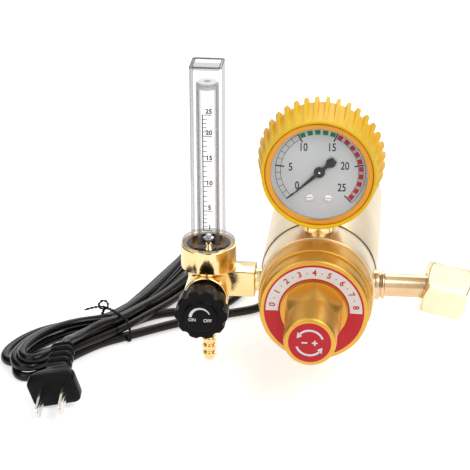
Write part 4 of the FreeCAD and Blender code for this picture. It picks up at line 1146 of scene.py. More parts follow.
@dataclass
class Flowmeter:
    """Square arm, valve housing, cup, clear tube with its scale, knob and hose barb."""

    x: float = -60.9
    y: float = 36.55
    arm: float = 15.0
    arm_end: float = -34.6
    nipple_r: float = 4.9
    nipple_collar_r: float = 6.4
    valve_r: float = 12.5
    valve_z: float = -4.8
    valve_front: float = 18.6
    valve_back: float = 48.5
    stem_r: float = 3.06
    packing: tuple[float, ...] = (7.0, 8.2, 5.0)    # radii of its face, corners and thread
    cup_r: float = 15.4
    cup_foot: float = 7.2
    cup_bore_r: float = 12.3
    cup_floor: float = 11.0
    cup_top: float = 21.3
    disc_r: float = 14.7
    disc_top: float = 23.8
    side: float = 17.5
    tube_top: float = 125.8
    bore_r: float = 6.2
    bore_top: float = 116.0
    inner_r: float = 5.4
    inner_top: float = 114.2
    float_z: float = 21.0
    float_r: float = 2.9
    float_neck_r: float = 1.5
    knob_r: float = 14.4
    knob_front: float = 2.5
    knob_back: float = -8.5
    flutes: int = 10
    flute_r: float = 2.4
    flute_at: float = 15.0
    hub_r: float = 3.0
    knob_disc_r: float = 8.6
    socket_r: float = 9.6
    screw_r: float = 2.6
    arc_r: float = 5.5
    barb_foot: float = -17.3
    barb_tip: float = -50.0
    barb_bore_r: float = 1.7
    barb_spigot_r: float = 4.4
    barb_neck_r: float = 3.1
    barb_rim_r: float = 4.15
    barb_flats: float = 12.0
    barbs: int = 4
    barb_pitch: float = 4.6
    line_x: float = -1.7
    values: tuple[int, ...] = (1, 5, 10, 15, 20, 25)
    scale_marks: tuple[float, ...] = (32.4, 44.0, 58.4, 73.0, 87.5, 99.5)

    def upright(self) -> Seat:
        """Return the seat of what stands on the cup's axis."""
        return Seat((self.x, self.y, 0), (0, 0, 1))

    def valve(self) -> Seat:
        """Return the seat of what lies on the valve's axis, seen from the front."""
        return Seat((self.x, 0, self.valve_z), (0, -1, 0))

    def base(self) -> None:
        """Build the brass casting and the nipple that joins it to the body."""
        length, quarter = self.arm_end - self.x, math.radians(90)
        arm = slab(self.arm, self.arm, 0.6, [(0, 0), (length - 0.5, 0), (length, 0.5)], 2)
        arm.transform(Matrix.Rotation(quarter, 4, "Y"))
        housing = turned([(0, -self.valve_back), (self.valve_r, -self.valve_back, 0.8),
                          (self.valve_r, -self.valve_front, 0.8), (0, -self.valve_front)])
        housing.transform(Matrix.Translation((0, -self.y, self.valve_z))
                          @ Matrix.Rotation(quarter, 4, "X"))
        foot_r = self.valve_r - 1
        cup = turned([(0, 0), (foot_r, 0), (foot_r, self.cup_foot, 0.5),
                      (self.cup_r, self.cup_foot, 1.4), (self.cup_r, self.cup_top, 0.7),
                      (self.cup_bore_r, self.cup_top), (self.cup_bore_r, self.cup_floor),
                      (0, self.cup_floor)], 144)
        Piece("valve_casting", "bright_brass").add(
            Finish.BRIGHT_BRASS, self.upright(), cut_and_fused(cup, [housing, arm])
        ).place("flowmeter_base")
        seat = Seat((0, self.y, 0), (1, 0, 0), (0, 1, 0))
        Piece("outlet_collar", "bright_brass").add(Finish.BRIGHT_BRASS, seat, turned([
            (2.0, -41.6), (self.nipple_r, -41.6), (self.nipple_r, self.arm_end),
            (self.nipple_collar_r, self.arm_end, 0.3), (self.nipple_collar_r, -31),
            (self.nipple_r, -31), (self.nipple_r, -25), (2.0, -25)], 64)).place("outlet_nipple")

    def packing_nut(self) -> None:
        """Build the small hexagonal nut behind the knob."""
        front = -self.valve_front + 6.2
        thread, back, steps = front - 6.2, front - 10.7, 5
        face_r, corner_r, thread_r = self.packing
        profile = [(self.stem_r, front)]
        profile += [(face_r + (corner_r - face_r) * k / steps, front - 0.7 * k / steps)
                    for k in range(steps + 1)]
        profile += [(corner_r, thread), (thread_r, thread), (thread_r, back), (self.stem_r, back)]
        Piece("packing_nut", "bright_brass").add(Finish.BRIGHT_BRASS, self.valve(), turned(
            profile, MEDIUM, hexagon(2 * face_r, 8.0, 5.5), 6)).place("gland_nut")

    def knob(self) -> None:
        """Build the ten-lobed knob."""
        front, back = self.knob_front, self.knob_back
        bore_r, disc = 2.56, front + 1.0
        share, steps = TURN / self.flutes, 32

        def section(theta: float, number: int, point: Point2) -> Point2:
            """Press half a flute into each end of a lobe.

            Args:
                theta: The point's angle.
                number: Its number in the outline. Not used.
                point: Its radius and distance.

            Returns:
                The radius and distance that it gets.
            """
            radius, z = point
            if radius < self.knob_disc_r + 1.9:
                return point
            off = min(theta, share - theta)
            limit = self.knob_r + 0.8
            if self.flute_at * math.sin(off) < self.flute_r - 0.001:
                reach = math.sqrt(self.flute_r ** 2 - (self.flute_at * math.sin(off)) ** 2)
                limit = self.flute_at * math.cos(off) - reach
            return soft_min(radius, limit + 0.12, 5.0), z

        mesh = turned([(bore_r, front - 1.2), (self.hub_r, front - 1.2), (self.hub_r, disc),
                       (self.knob_disc_r, disc), (self.knob_disc_r + 0.4, front + 0.7, 0.3),
                       (self.knob_disc_r + 0.8, front, 0.4), (self.knob_r, front, 1.3),
                       (self.knob_r, back, 1.3), (self.socket_r, back, 0.3),
                       (self.socket_r, back + 4), (bore_r, back + 4)], section=section,
                      sides=self.flutes, angles=[share * k / steps for k in range(steps + 1)],
                      start=TURN / 4)
        Piece("hand_knob", "black_plastic", "flow_knob").add(
            Finish.BLACK_PLASTIC, self.valve(), mesh).place("flow_knob")

    def knob_front_pieces(self) -> None:
        """Build the knob's cap with its plain markings, and its screw."""
        low, disc = self.knob_front + 1.0, self.knob_front + 2.2
        cap = Piece("knob_disc", "black_plastic", "flow_knob")
        cap.add(Finish.BLACK_PLASTIC, self.valve(), turned([
            (0, low), (self.knob_disc_r, low), (self.knob_disc_r, disc, 0.7), (0, disc)], MEDIUM))
        first, last = 20, 176
        swell = [polar(self.arc_r + sign * (0.25 + 0.6 * (angle - first) / (last - first)), angle)
                 for sign, angles in ((1, range(last, first + 1, -4)),
                                      (-1, range(first + 4, last + 4, 4))) for angle in angles]
        cap.add(Finish.INK_WHITE, self.valve(), lettering("ON", 2.6, -4.5, -1.4, disc, 0, 0.04),
                lettering("OFF", 2.6, 3.9, -1.6, disc, 0, 0.04), plate(swell, disc))
        cap.place("knob_cap")
        low, high = self.knob_front - 0.9, self.knob_front + 0.6
        Piece("knob_fixing", "steel", "flow_knob").add(Finish.STEEL, self.valve(), turned([
            (0, low), (self.screw_r, low), (self.screw_r, high, 0.4), (0, high)], 48)
        ).place("knob_screw")

    def column(self) -> None:
        """Build the clear square tube with its round foot, bore and sunk top."""
        low, top, foot_r = self.cup_floor + 1.5, self.tube_top, self.cup_bore_r - 0.1
        seat = self.cup_top + 0.06
        foot = turned([(0, low), (foot_r, low), (foot_r, seat), (self.disc_r, seat, 0.3),
                       (self.disc_r, self.disc_top, 0.8), (0, self.disc_top)], MEDIUM)
        rise = slab(self.side, self.side, 1.6, [
            (self.disc_top - 1, 0), (top - 0.5, 0), (top - 0.15, 0.15), (top, 0.5)])
        sunk = slab(self.side - 3, self.side - 3, 0.8, [
            (top - 2.2, 0.4), (top - 1.8, 0), (top + 1, 0)])
        bore = turned([(0, low - 2), (self.bore_r, low - 2),
                       (self.bore_r, self.bore_top - 1.5, 0.5), (0, self.bore_top)], MEDIUM)
        mesh = cut_and_fused(rise, [foot], [bore, sunk])
        # two thin dark square rings at the top: painted shade that outlines the tube's rim and its
        # sunk top
        rims = []
        for outer in (self.side, self.side - 2.2):
            solid, hole = (slab(size, size, 1.6 - cut, [
                (top - 0.6 - cut, 0), (top + 0.02 + cut, 0)])
                for size, cut in ((outer, 0), (outer - 1.1, 0.5)))
            rims.append(cut_and_fused(solid, cut=[hole]))
        column = Piece("clear_column", "clear_plastic")
        column.add(Finish.CLEAR_PLASTIC, self.upright(), mesh)
        column.add(Finish.CLEAR_RIM, self.upright(), *rims)
        column.place("outer_tube").visible_shadow = False

    def metering(self) -> None:
        """Build the inner tube and the float."""
        radius, top, count, z = self.inner_r, self.inner_top, 64, self.float_z
        wall = grid_mesh("wall", [[Vector((*polar(ring_r, 360 * k / count), height))
                                   for k in range(count)] for ring_r, height in (
            (radius, self.cup_floor), (radius, top), (radius - 0.3, top + 0.3))], True, False)
        Piece("metering_tube", "clear_plastic").add(
            Finish.CLEAR_PLASTIC, self.upright(), wall).place("inner_tube").visible_shadow = False
        Piece("turned_float", "core_aluminium", "float").add(
            Finish.CORE_ALUMINIUM, self.upright(), turned([
                (0, z), (0.7, z, 0.2), (self.float_r, z + 2.6, 0.1), (self.float_r, z + 3.4, 0.2),
                (self.float_neck_r, z + 4.0, 0.2), (self.float_neck_r, z + 5.1, 0.3),
                (0, z + 5.6)], 48)).place("float")

    def scale(self) -> None:
        """Print the scale on the front of the clear tube."""
        seat = Seat((self.x, self.y - self.side / 2, 0), (0, -1, 0))
        left, low = self.line_x, 0.01
        marks = [bar(left - 0.26, self.scale_marks[0], left + 0.26, self.scale_marks[-1], low)]
        for foot, head in zip(self.scale_marks, self.scale_marks[1:]):
            tick = bar(left, foot - 0.19, left + 2.2, foot + 0.19, low + 0.002)
            marks.append(Repeat.make(tick, Count=5, Step=(0.0, (head - foot) / 5, 0.0),
                                     Weld=FINE_WELD))
        for number, z in zip(self.values, self.scale_marks):
            marks.append(bar(left, z - 0.2, left + 4.9, z + 0.2, low + 0.004))
            marks.append(lettering(str(number), 3.6, left + 3.4, z + 2.0, low, 0, 0.12))
        Piece("tube_scale", "black_plastic").add(Finish.INK_BLACK, seat, *marks).place()

    def barb(self) -> None:
        """Build the hose tail: hexagon and four barbs."""
        foot, tip, pitch = self.barb_foot, self.barb_tip, self.barb_pitch
        hex_foot, face_r, reach, steps = foot - 5.0, self.barb_flats / 2 + 0.1, 0.95, 4
        neck_r, rim_r = self.barb_neck_r, self.barb_rim_r
        profile = [(self.barb_bore_r, foot + 6), (self.barb_spigot_r, foot + 6),
                   (self.barb_spigot_r, foot)]
        profile += [(face_r + reach * k / steps, foot - 0.6 * k / steps)
                    for k in range(steps + 1)]
        profile += [(face_r + reach - reach * k / steps, hex_foot + 0.6 - 0.6 * k / steps)
                    for k in range(steps + 1)]
        profile.append((neck_r, hex_foot, 0.3))
        for k in reversed(range(self.barbs)):
            low = tip + k * pitch
            profile += [(neck_r, low + pitch * 0.82, 0.2), (rim_r, low + pitch * 0.78, 0.15),
                        (rim_r, low + pitch * 0.55, 0.3), (3.2 if k else 2.9, low, 0.2)]
        profile.append((self.barb_bore_r, tip, 0.2))
        Piece("hose_tail", "bright_brass").add(Finish.BRIGHT_BRASS, self.upright(), turned(
            profile, MEDIUM, hexagon(self.barb_flats, 9.0, 5.2, high=foot + 0.01), 6,
            start=math.radians(15))).place("hose_barb")

    def build(self) -> None:
        """Build every piece of the flowmeter."""
        self.base()
        self.packing_nut()
        self.knob()
        self.knob_front_pieces()
        self.column()
        self.metering()
        self.scale()
        self.barb()


@dataclass
class Gauge:
    """Pressure gauge: stem, boot, case, bezel, window, dial, screws and pointer."""

    z: float = 68.0
    port_y: float = 36.55
    case_r: float = 28.0
    case_t: float = 1.2
    front: float = -27.4
    back: float = -52.0
    bezel_r: float = 29.3
    bezel: float = 2.4
    lip_r: float = 26.0
    window_t: float = 1.8
    rim_r: float = 31.0
    valley_r: float = 32.0
    rib_r: float = 35.0
    ribs: int = 36
    rib_length: float = 27.7
    rib_half: Point2 = (0.31, 0.43)     # where a rib's flank ends and starts, by half pitches
    stations: tuple[float, ...] = (1.0, 0.8, 0.62, 0.5, 0.44, 0.41, 0.38, 0.35, 0.32, 0.27, 0.14)
    boot_front: float = -25.0
    boot_back: float = -55.0
    boot_bore_r: float = 22.0
    boot_hole_r: float = 8.2
    dial_y: float = -31.4
    dial_r: float = 26.8
    dial_t: float = 0.6
    arbor_hole_r: float = 1.4
    scale_r: Point2 = (20.9, 23.9)
    marks: tuple[float, ...] = (223.0, 173.0, 119.5, 67.0, 11.0, -44.5)
    figures: tuple[Point2, ...] = ((-12.0, -8.6), (-15.6, 2.0), (-8.9, 13.6), (6.4, 14.0),
                                   (13.6, 3.6), (12.2, -9.0))
    figure: float = 6.4
    screws: tuple[float, float] = (5.0, 15.0)       # how far beside and under the middle
    stem_r: tuple[float, ...] = (1.0, 6.0, 8.0, 6.4, 4.4)
    stem_z: tuple[float, ...] = (22.0, 31.0, 36.0, 41.2, 50.6)
    pointer_y: float = -30.4
    arbor_back: float = -42.2
    hub_r: float = 3.0
    pointer_half: tuple[Point2, ...] = ((22.0, 0.15), (0.0, 1.1), (-5.0, 0.9), (-6.6, 1.9),
                                        (-7.6, 2.7), (-9.2, 2.5), (-11.0, 1.7))

    def seat(self) -> Seat:
        """Return the seat of what faces forward on the gauge's axis."""
        return Seat((0, 0, self.z), (0, -1, 0))

    def angle(self, value: float) -> float:
        """Work out where a reading stands on the dial.

        Args:
            value: The reading.

        Returns:
            Its angle in degrees, from the right, anticlockwise.
        """
        step = min(int(value // 5), len(self.marks) - 2)
        first, last = self.marks[step:step + 2]
        return first + (last - first) * (value / 5 - step)

    def boot(self) -> None:
        """Build the moulded boot: one rib's share of it, repeated and welded."""
        front, back, lip = self.boot_front, self.boot_back, -29.8
        inner = [(self.boot_bore_r, back), (self.boot_bore_r, self.back), (27.0, self.back),
                 (self.case_r, self.back + 1), (self.case_r, lip), (self.bezel_r, lip),
                 (self.bezel_r, front - 1.0), (self.bezel_r + 0.3, front - 0.3),
                 (self.bezel_r + 0.9, front)]
        steps, start = 12, 1.5
        valley = [(self.rim_r - 0.5, front), (self.rim_r - 0.1, front - 0.2),
                  (self.rim_r, front - 0.7)]
        rib = list(valley)
        for k in range(1, steps + 1):
            share = k / steps
            z = front - start - (self.rib_length - start) * share
            valley.append((self.rim_r + (self.valley_r - self.rim_r) * share, z))
            rib.append((self.rim_r + (self.rib_r - self.rim_r) * min(1.0, share * 1.08), z))
        valley += [(self.valley_r, back + 1.8), (self.valley_r - 0.6, back + 0.7),
                   (self.valley_r - 1.6, back)]
        rib += [(self.rib_r, back + 1.4), (self.rib_r - 0.3, back + 0.5), (self.rib_r - 0.9, back)]
        count = len(inner)
        half = TURN / self.ribs / 2
        top, foot = self.rib_half
        shares = [*self.stations, 0.0, *(-share for share in reversed(self.stations))]

        def section(theta: float, number: int, point: Point2) -> Point2:
            """Blend the boot's wall into the rib.

            Args:
                theta: The point's angle.
                number: Its number in the outline.
                point: Its radius and distance.

            Returns:
                The radius and distance that it gets.
            """
            if number < count:
                return point
            rise = min(1.0, max(0.0, (foot - abs(theta) / half) / (foot - top)))
            low, high = Vector(valley[number - count]), Vector(rib[number - count])
            return tuple(low.lerp(high, rise * rise * (3 - 2 * rise)))

        shell = turned(inner + valley, section=section, sides=self.ribs,
                       angles=[share * half for share in shares], start=TURN / 4 + half)
        hole = turned([(0, -45), (self.boot_hole_r, -45), (self.boot_hole_r, -20), (0, -20)], 64)
        hole.transform(Matrix.Translation((0, 0, -self.port_y))
                       @ Matrix.Rotation(math.radians(270), 4, "X"))
        Piece("ribbed_boot", "yellow_rubber", crease=40.0).add(
            Finish.YELLOW_RUBBER, self.seat(), cut_and_fused(shell, cut=[hole])
        ).place("gauge_boot")

    def case(self) -> None:
        """Build the metal case, its bezel and its window."""
        wall, floor = self.case_r - self.case_t, self.back + self.case_t
        front, edge, pane = self.front, self.front - self.bezel, self.front - self.window_t
        Piece("case_shell", "steel").add(Finish.STEEL, self.seat(), turned([
            (wall, front), (self.case_r, front, 0.3), (self.case_r, self.back, 1.0),
            (0, self.back), (0, floor), (wall, floor, 0.6)], 144)).place("gauge_case")
        Piece("bezel_ring", "gold_trim").add(Finish.GOLD_TRIM, self.seat(), turned([
            (self.lip_r, front), (self.lip_r, front + 0.9, 0.4), (self.bezel_r, front + 1.2, 0.8),
            (self.bezel_r, edge), (self.case_r, edge), (self.case_r, front)], FINE)
        ).place("gauge_bezel")
        Piece("window_pane", "clear_window").add(Finish.CLEAR_WINDOW, self.seat(), turned([
            (0, pane), (wall, pane, 0.2), (wall, front, 0.2), (0, front)], 144)
        ).place("gauge_window").visible_shadow = False

    def ticks(self, values: Iterable[float], inner: float, outer: float,
              width: float) -> list[bpy.types.Mesh]:
        """Print ticks at readings.

        Args:
            values: The readings.
            inner: Radius of a tick's inner end.
            outer: Radius of its outer end.
            width: Its width.

        Returns:
            The ticks' meshes.
        """
        made = []
        for value in values:
            tick = bar(inner, -width / 2, outer, width / 2, self.dial_y + 0.004)
            tick.transform(Matrix.Rotation(math.radians(self.angle(value)), 4, "Z"))
            made.append(tick)
        return made

    def dial(self) -> None:
        """Build the dial plate with its scale."""
        seat, top = self.seat(), self.dial_y
        low, high = self.scale_r
        line, green, red = 0.25, (10, 15), (15, 25)
        piece = Piece("dial_plate", "dial_white")
        piece.add(Finish.DIAL_WHITE, seat, turned([
            (self.arbor_hole_r, top - self.dial_t), (self.dial_r, top - self.dial_t),
            (self.dial_r, top), (self.arbor_hole_r, top)], 144))
        arcs = [band(inner, inner + line, self.angle(last), self.angle(first), top)
                for inner, first, last in ((high - 0.2, 0, 10), (low, 0, 10), (high + 0.75, *red),
                                           (low, *red))]
        arcs += self.ticks(range(10), low, high, 0.26)
        arcs += self.ticks(range(16, 26), low, high + 1.0, 0.2)
        arcs += self.ticks(range(0, 26, 5), low - 1.8, high + 0.2, 0.75)
        piece.add(Finish.INK_BLACK, seat, *arcs)
        for finish, readings in ((Finish.DIAL_GREEN, green), (Finish.DIAL_RED, red)):
            piece.add(finish, seat, *[
                band(low + 0.35, high - 0.1, self.angle(value + 0.84), self.angle(value + 0.16),
                     top) for value in range(*readings)])
        piece.add(Finish.INK_BLACK, seat, *[
            lettering(str(5 * k), self.figure, x, y, top, 0, 0.1, 0.74)
            for k, (x, y) in enumerate(self.figures)])
        piece.place("gauge_dial")

    def fixings(self) -> None:
        """Build the dial's two slotted screws."""
        thread_r, head_r = 0.85, 2.2
        head = turned([(0, -5.0), (thread_r, -5.0), (thread_r, 0), (head_r, 0),
                       (head_r, 0.7, 0.3), (0, 0.7)], 32)
        slot = slab(5.0, 0.5, 0.05, [(0.3, 0), (1.0, 0)], 1)
        beside, under = self.screws
        pair = Repeat.make(cut_and_fused(head, cut=[slot]), Count=2, Step=(2 * beside, 0.0, 0.0),
                           Weld=FINE_WELD)
        Piece("dial_fixings", "steel").add(
            Finish.STEEL, Seat((-beside, -self.dial_y, self.z - under), (0, -1, 0)), pair
        ).place("dial_screws")

    def pointer(self) -> None:
        """Build the pointer with its spade tail and hub."""
        low, arbor_r, pin_r = self.pointer_y, 0.8, 0.55
        back, front = low - 0.4, low + 0.9
        (tip, half), *rest = self.pointer_half
        outline = [(tip, -half), (tip, half), *rest, *((x, -y) for x, y in reversed(rest))]
        hand = plate(outline, low, 0.5)
        hand.transform(Matrix.Rotation(math.radians(self.marks[0]), 4, "Z"))
        piece = Piece("dial_pointer", "pointer_black", "gauge_pointer")
        piece.add(Finish.POINTER_BLACK, self.seat(), hand, turned([
            (0, back), (self.hub_r, back), (self.hub_r, front, 0.3), (0, front)], 48),
            turned([(0, self.arbor_back), (arbor_r, self.arbor_back), (arbor_r, back),
                    (0, back)], 24))
        piece.add(Finish.STEEL, self.seat(), turned([
            (0, front), (pin_r, front), (pin_r, front + 0.1), (0, front + 0.1)], 24))
        piece.place("gauge_pointer")

    def stem(self) -> None:
        """Build the stem between the body and the gauge."""
        seat = Seat((0, self.port_y, 0), (0, 0, 1))
        bore_r, root_r, flange_r, neck_r, pin_r = self.stem_r
        root, port, flange, neck, top = self.stem_z
        Piece("gauge_neck", "bright_brass").add(Finish.BRIGHT_BRASS, seat, turned([
            (bore_r, root), (root_r, root), (root_r, port), (flange_r, port),
            (flange_r, flange, 0.8), (neck_r, flange, 0.3), (neck_r, neck), (pin_r, neck),
            (pin_r, top), (bore_r, top)], MEDIUM)).place("gauge_stem")

    def build(self) -> None:
        """Build every piece of the gauge."""
        self.stem()
        self.boot()
        self.case()
        self.dial()
        self.fixings()
        self.pointer()


@dataclass
class PowerCord:
    """Mains cord with its loose tied hank, the tie and the plug."""

    radius: float = 2.6
    tip_y: float = 183.5
    tie: Point2 = (-121.0, 62.5)
    tail: tuple[Triple, ...] = ((-124.0, 48.0, -37.5), (-132.5, 37.0, -38.5),
                                (-136.5, 25.0, -36.0))
    in_plug: Point2 = (42.5, 36.3)  # the cord's last points, behind the plug's face
    plug_at: Triple = (-137.6, -31.0, -40.1)
    plug_turns: Triple = (1.7, 13.0, 13.5)
    plug_size: Triple = (26.8, 19.0, 4.0)   # width, height and corner
    plug_ends: Triple = (6.5, 17.5, 36.5)   # how far back its face, its shoulder and its neck end
    plug_neck: Point2 = (13.6, 9.6)
    blade: tuple[float, ...] = (3.15, 15.4, 17.0, -8.0, 1.5)    # half width, ends, thickness
    blade_x: float = 6.35
    tie_size: Point2 = (14.6, 14.6)         # half its width, and its height

    def lead(self) -> list[Vector]:
        """Lay the cord from the gland to the tie.

        Returns:
            Its points.
        """
        low = Bench.floor_z + self.radius
        places = [(0, self.tip_y, 0), (0, 206, 0), (-8.8, 223, -14.3), (-21.2, 223, -34.7),
                  (-30, 206, low), (-26, 183, low), (-24.5, 160, low), (-26, 137, low),
                  (-30, 115, low), (-37.5, 98.5, low), (-54, 90.5, low), (-70, 83, low),
                  (-86, 73.5, low), (-100, 63.5, low), (-112.5, 54, low)]
        return [Vector(place) for place in places]

    def turns(self) -> list[Vector]:
        """Lay out the hank's turns, flat.

        Returns:
            Their points, in order.
        """
        across = Vector((-1, 1, 0)).normalized()
        left = [(-113.6, 55.1), (-124, 43.5), (-137, 30), (-149, 14.5), (-158, 3), (-168.5, 3.5),
                (-173.5, 17), (-169.5, 36), (-159.5, 54), (-145.5, 66), (-130.6, 72.1)]
        out = [(-130.6, 72.1), (-122, 87), (-113.5, 105), (-105.5, 126), (-98, 147), (-92.3, 163)]
        wide = out + [(-87, 170), (-78, 174), (-69, 168), (-64.5, 154), (-53, 140), (-48, 124),
                      (-52, 106), (-60, 94), (-74, 86), (-94, 80), (-113.6, 55.1)]
        slim = out + [(-87, 169), (-78, 173), (-69, 166), (-69, 150), (-77, 138), (-86, 116),
                      (-94, 96), (-103, 77), (-113.6, 55.1)]
        edge = 12.0                     # how far the outlines' ends lie from the tie's middle
        # each turn: where it crosses the tie at the front and at the rear and where the next turn
        # crosses it, the sway of its left loop, its right loop, and the sway of that one
        plan = [(-8.3, 2.3, -3.0, (2, -1), wide, (3, 0, 0)),
                (-3.0, 7.6, -10.9, (-4, 10), slim, (0, 0, 1)),
                (-10.9, 5.0, -5.6, (1, 1), slim, (10, -8, 5)),
                (-5.6, -0.4, -8.2, (5, 2), slim, (5, -12, 9))]
        points: list[Vector] = []
        for front, rear, next_front, fan, right, drift in plan:
            for outline, first, last in ((left, front + edge, rear - edge),
                                         (right, rear - edge, next_front + edge)):
                count = len(outline) - 1
                for k, place in enumerate(outline[1:], 1):
                    share = k / count
                    swing = math.sin(math.pi * share)
                    point = Vector((*place, 0)) + across * (first * (1 - share) + last * share)
                    if outline is left:
                        point += Vector((*fan, 0)) * swing
                    else:
                        point.x += swing * (drift[0] * (1 - share) + drift[1] * share)
                        point.y -= swing * drift[2]
                    points.append(point)
        return points

    def settled(self, laid: list[Vector], points: list[Vector]) -> list[Vector]:
        """Lift each point over what already lies under it.

        Args:
            laid: Points on the floor, laid first.
            points: Points to lay, in their order.

        Returns:
            The points at their heights.
        """
        low, thick = Bench.floor_z + self.radius, 2 * self.radius
        steps, fresh, passes = 8, 10, 2
        under = [first.lerp(last, k / steps) for first, last in zip(laid, laid[1:])
                 for k in range(steps)]
        result: list[Vector] = []
        before = laid[-1]
        for point in points:
            height = low
            for other in under[:-fresh]:
                flat = (point.xy - other.xy).length
                if flat < thick * 0.9:
                    height = max(height, other.z + math.sqrt(max(0.0, thick ** 2 - flat ** 2)))
            settled = Vector((point.x, point.y, height))
            result.append(settled)
            under += [before.lerp(settled, k / steps) for k in range(steps)]
            before = settled
        for _ in range(passes):
            heights = [point.z for point in result]
            for k in range(1, len(result) - 1):
                result[k].z = (heights[k - 1] + 2 * heights[k] + heights[k + 1]) / 4
        return result

    def plug_seat(self) -> Matrix:
        """Work out where the plug lies.

        Returns:
            The plug's matrix, with Z out of its face and Y up.
        """
        yaw, pitch, roll = (math.radians(angle) for angle in self.plug_turns)
        turn = (Matrix.Rotation(yaw, 4, "Z") @ Matrix.Rotation(pitch, 4, "X")
                @ Matrix.Rotation(-roll, 4, "Y") @ Matrix.Rotation(math.radians(90), 4, "X"))
        return Matrix.Translation(self.plug_at) @ turn

    def line(self) -> list[Vector]:
        """Lay the whole cord.

        Returns:
            Its points, in order.
        """
        lead, plug = self.lead(), self.plug_seat()
        end = [Vector(place) for place in self.tail]
        end += [plug @ Vector((0, 0, -back)) for back in self.in_plug]
        return lead + self.settled(lead, self.turns()) + end

    def cord(self) -> bpy.types.Object:
        """Build the cord as one smooth line.

        Returns:
            The cord's object.
        """
        points = self.line()
        curve = smooth_curve("power_cord", [Bench.at(*point) for point in points], 8)
        curve.bevel_depth = self.radius * MM
        curve.bevel_resolution = 5
        curve.use_fill_caps = True
        curve.materials.append(Finish.CORD_JACKET.material())
        cord = bench_object("power_cord", curve)
        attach(cord, "root")
        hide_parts("cord_lead", "cord_hank", "cord_tail")
        LOG.info("power_cord: %d points", len(points))
        return cord

    def plug(self) -> list[bpy.types.Object]:
        """Build the moulded plug and its two blades.

        Returns:
            The plug's body and its blades.
        """
        place = self.plug_seat()
        width, height, corner = self.plug_size
        face, shoulder, neck_end = self.plug_ends
        neck_w, neck_h = self.plug_neck
        rows = []

        def row(z: float, wide: float, high: float, edge: float) -> None:
            """Add one rounded rectangle."""
            edge = max(0.4, min(edge, 0.49 * min(wide, high)))
            rows.append(rounded_row(wide, high, edge, z, 8))

        for z, inset in ((0.0, 1.2), (-0.35, 0.4), (-1.2, 0.0), (-face + 0.8, 0.0),
                         (-face + 0.2, 0.15), (-face, 0.5)):
            row(z, width - 2 * inset, height - 2 * inset, corner - inset * 0.5)
        for k in range(1, 13):
            share = k / 12
            ease = share * share * (3 - 2 * share)
            row(-face - (shoulder - face) * share, width - 1 + (neck_w - width + 1) * ease,
                height - 1 + (neck_h - height + 1) * ease, corner)
        ribs = 4
        for k in range(ribs):
            top = -shoulder - k * (neck_end - shoulder) / ribs
            for down, inset in ((0.5, 0.0), (1.6, 0.0), (1.9, 0.35), (2.2, 0.9), (3.6, 0.9),
                                (3.9, 0.35), (4.2, 0.0)):
                row(top - down, neck_w - 2 * inset, neck_h - 2 * inset, corner - inset)
        row(-neck_end + 0.2, neck_w - 0.5, neck_h - 0.5, corner)
        row(-neck_end, neck_w - 1.6, neck_h - 1.6, corner)
        mesh = capped(rows)
        mesh.transform(place)
        body = Piece("plug_moulding", "black_rubber", crease=50.0)
        body.add(Finish.BLACK_PLASTIC, UPRIGHT, mesh)
        blades = []
        half, tip, length, root, thick = self.blade
        for side in (-self.blade_x, self.blade_x):
            shape = rounded([(-half, root), (half, root), (half, tip, 0.6),
                             (half - 1.6, length, 0.6), (1.6 - half, length, 0.6),
                             (-half, tip, 0.6)], 3)
            levels = []
            for x, inset in ((-thick / 2, 0.25), (-thick / 2 + 0.2, 0.0), (thick / 2 - 0.2, 0.0),
                             (thick / 2, 0.25)):
                levels.append([Vector((side + x, y * (1 - inset / half),
                                       z - (inset if z > tip else 0))) for y, z in shape])
            blade = capped(levels)
            blade.transform(place)
            blades.append(blade)
        pins = Piece("plug_pins", "steel").add(Finish.NICKEL, UPRIGHT, *blades)
        return [body.place("plug_body"), pins.place("plug_blades")]

    def twist_tie(self) -> bpy.types.Object:
        """Build the thin twisted wire round the hank's waist, with its two ends.

        Returns:
            The tie's object.
        """
        low = Bench.floor_z
        along, across = Vector((1, 1, 0)).normalized(), Vector((-1, 1, 0)).normalized()
        middle = Vector((*self.tie, 0)) - across * 3.0
        wide, high = self.tie_size
        loop = []
        for side, z in ((-0.55, 1.1), (0.0, 1.1), (0.8, 1.1), (1.0, 2.6), (1.0, 7.2),
                        (0.72, high), (0.2, high + 0.7), (-0.35, high + 0.6), (-0.8, high),
                        (-1.0, 7.2), (-1.0, 2.6), (-0.8, 1.1), (-0.3, 1.2)):
            loop.append(middle + across * (side * wide) + Vector((0, 0, low + z)))
        knot = middle + across * 8.0 + Vector((0, 0, low + high + 0.2))
        tail = [knot - across * 3, knot + Vector((0, 0, 0.6)),
                knot + across * 5 - along * 4 + Vector((0, 0, 0.4)),
                knot + across * 9 - along * 10 + Vector((0, 0, -1.6))]
        eye = [knot - across * 1.5 - along, knot + across + along * 2 + Vector((0, 0, 2.5)),
               knot + across * 3.5 - along + Vector((0, 0, 4.2)),
               knot + across * 4 - along * 4 + Vector((0, 0, 1.5)),
               knot + across * 1.5 - along * 3 + Vector((0, 0, -0.8)), knot]
        piece = Piece("hank_tie", "black_rubber", crease=60.0)
        for places, radius in ((loop, 0.8), (tail, 0.6), (eye, 0.6)):
            piece.add(Finish.BLACK_RUBBER, UPRIGHT, *self.wire(places, radius))
        return piece.place("cord_tie")

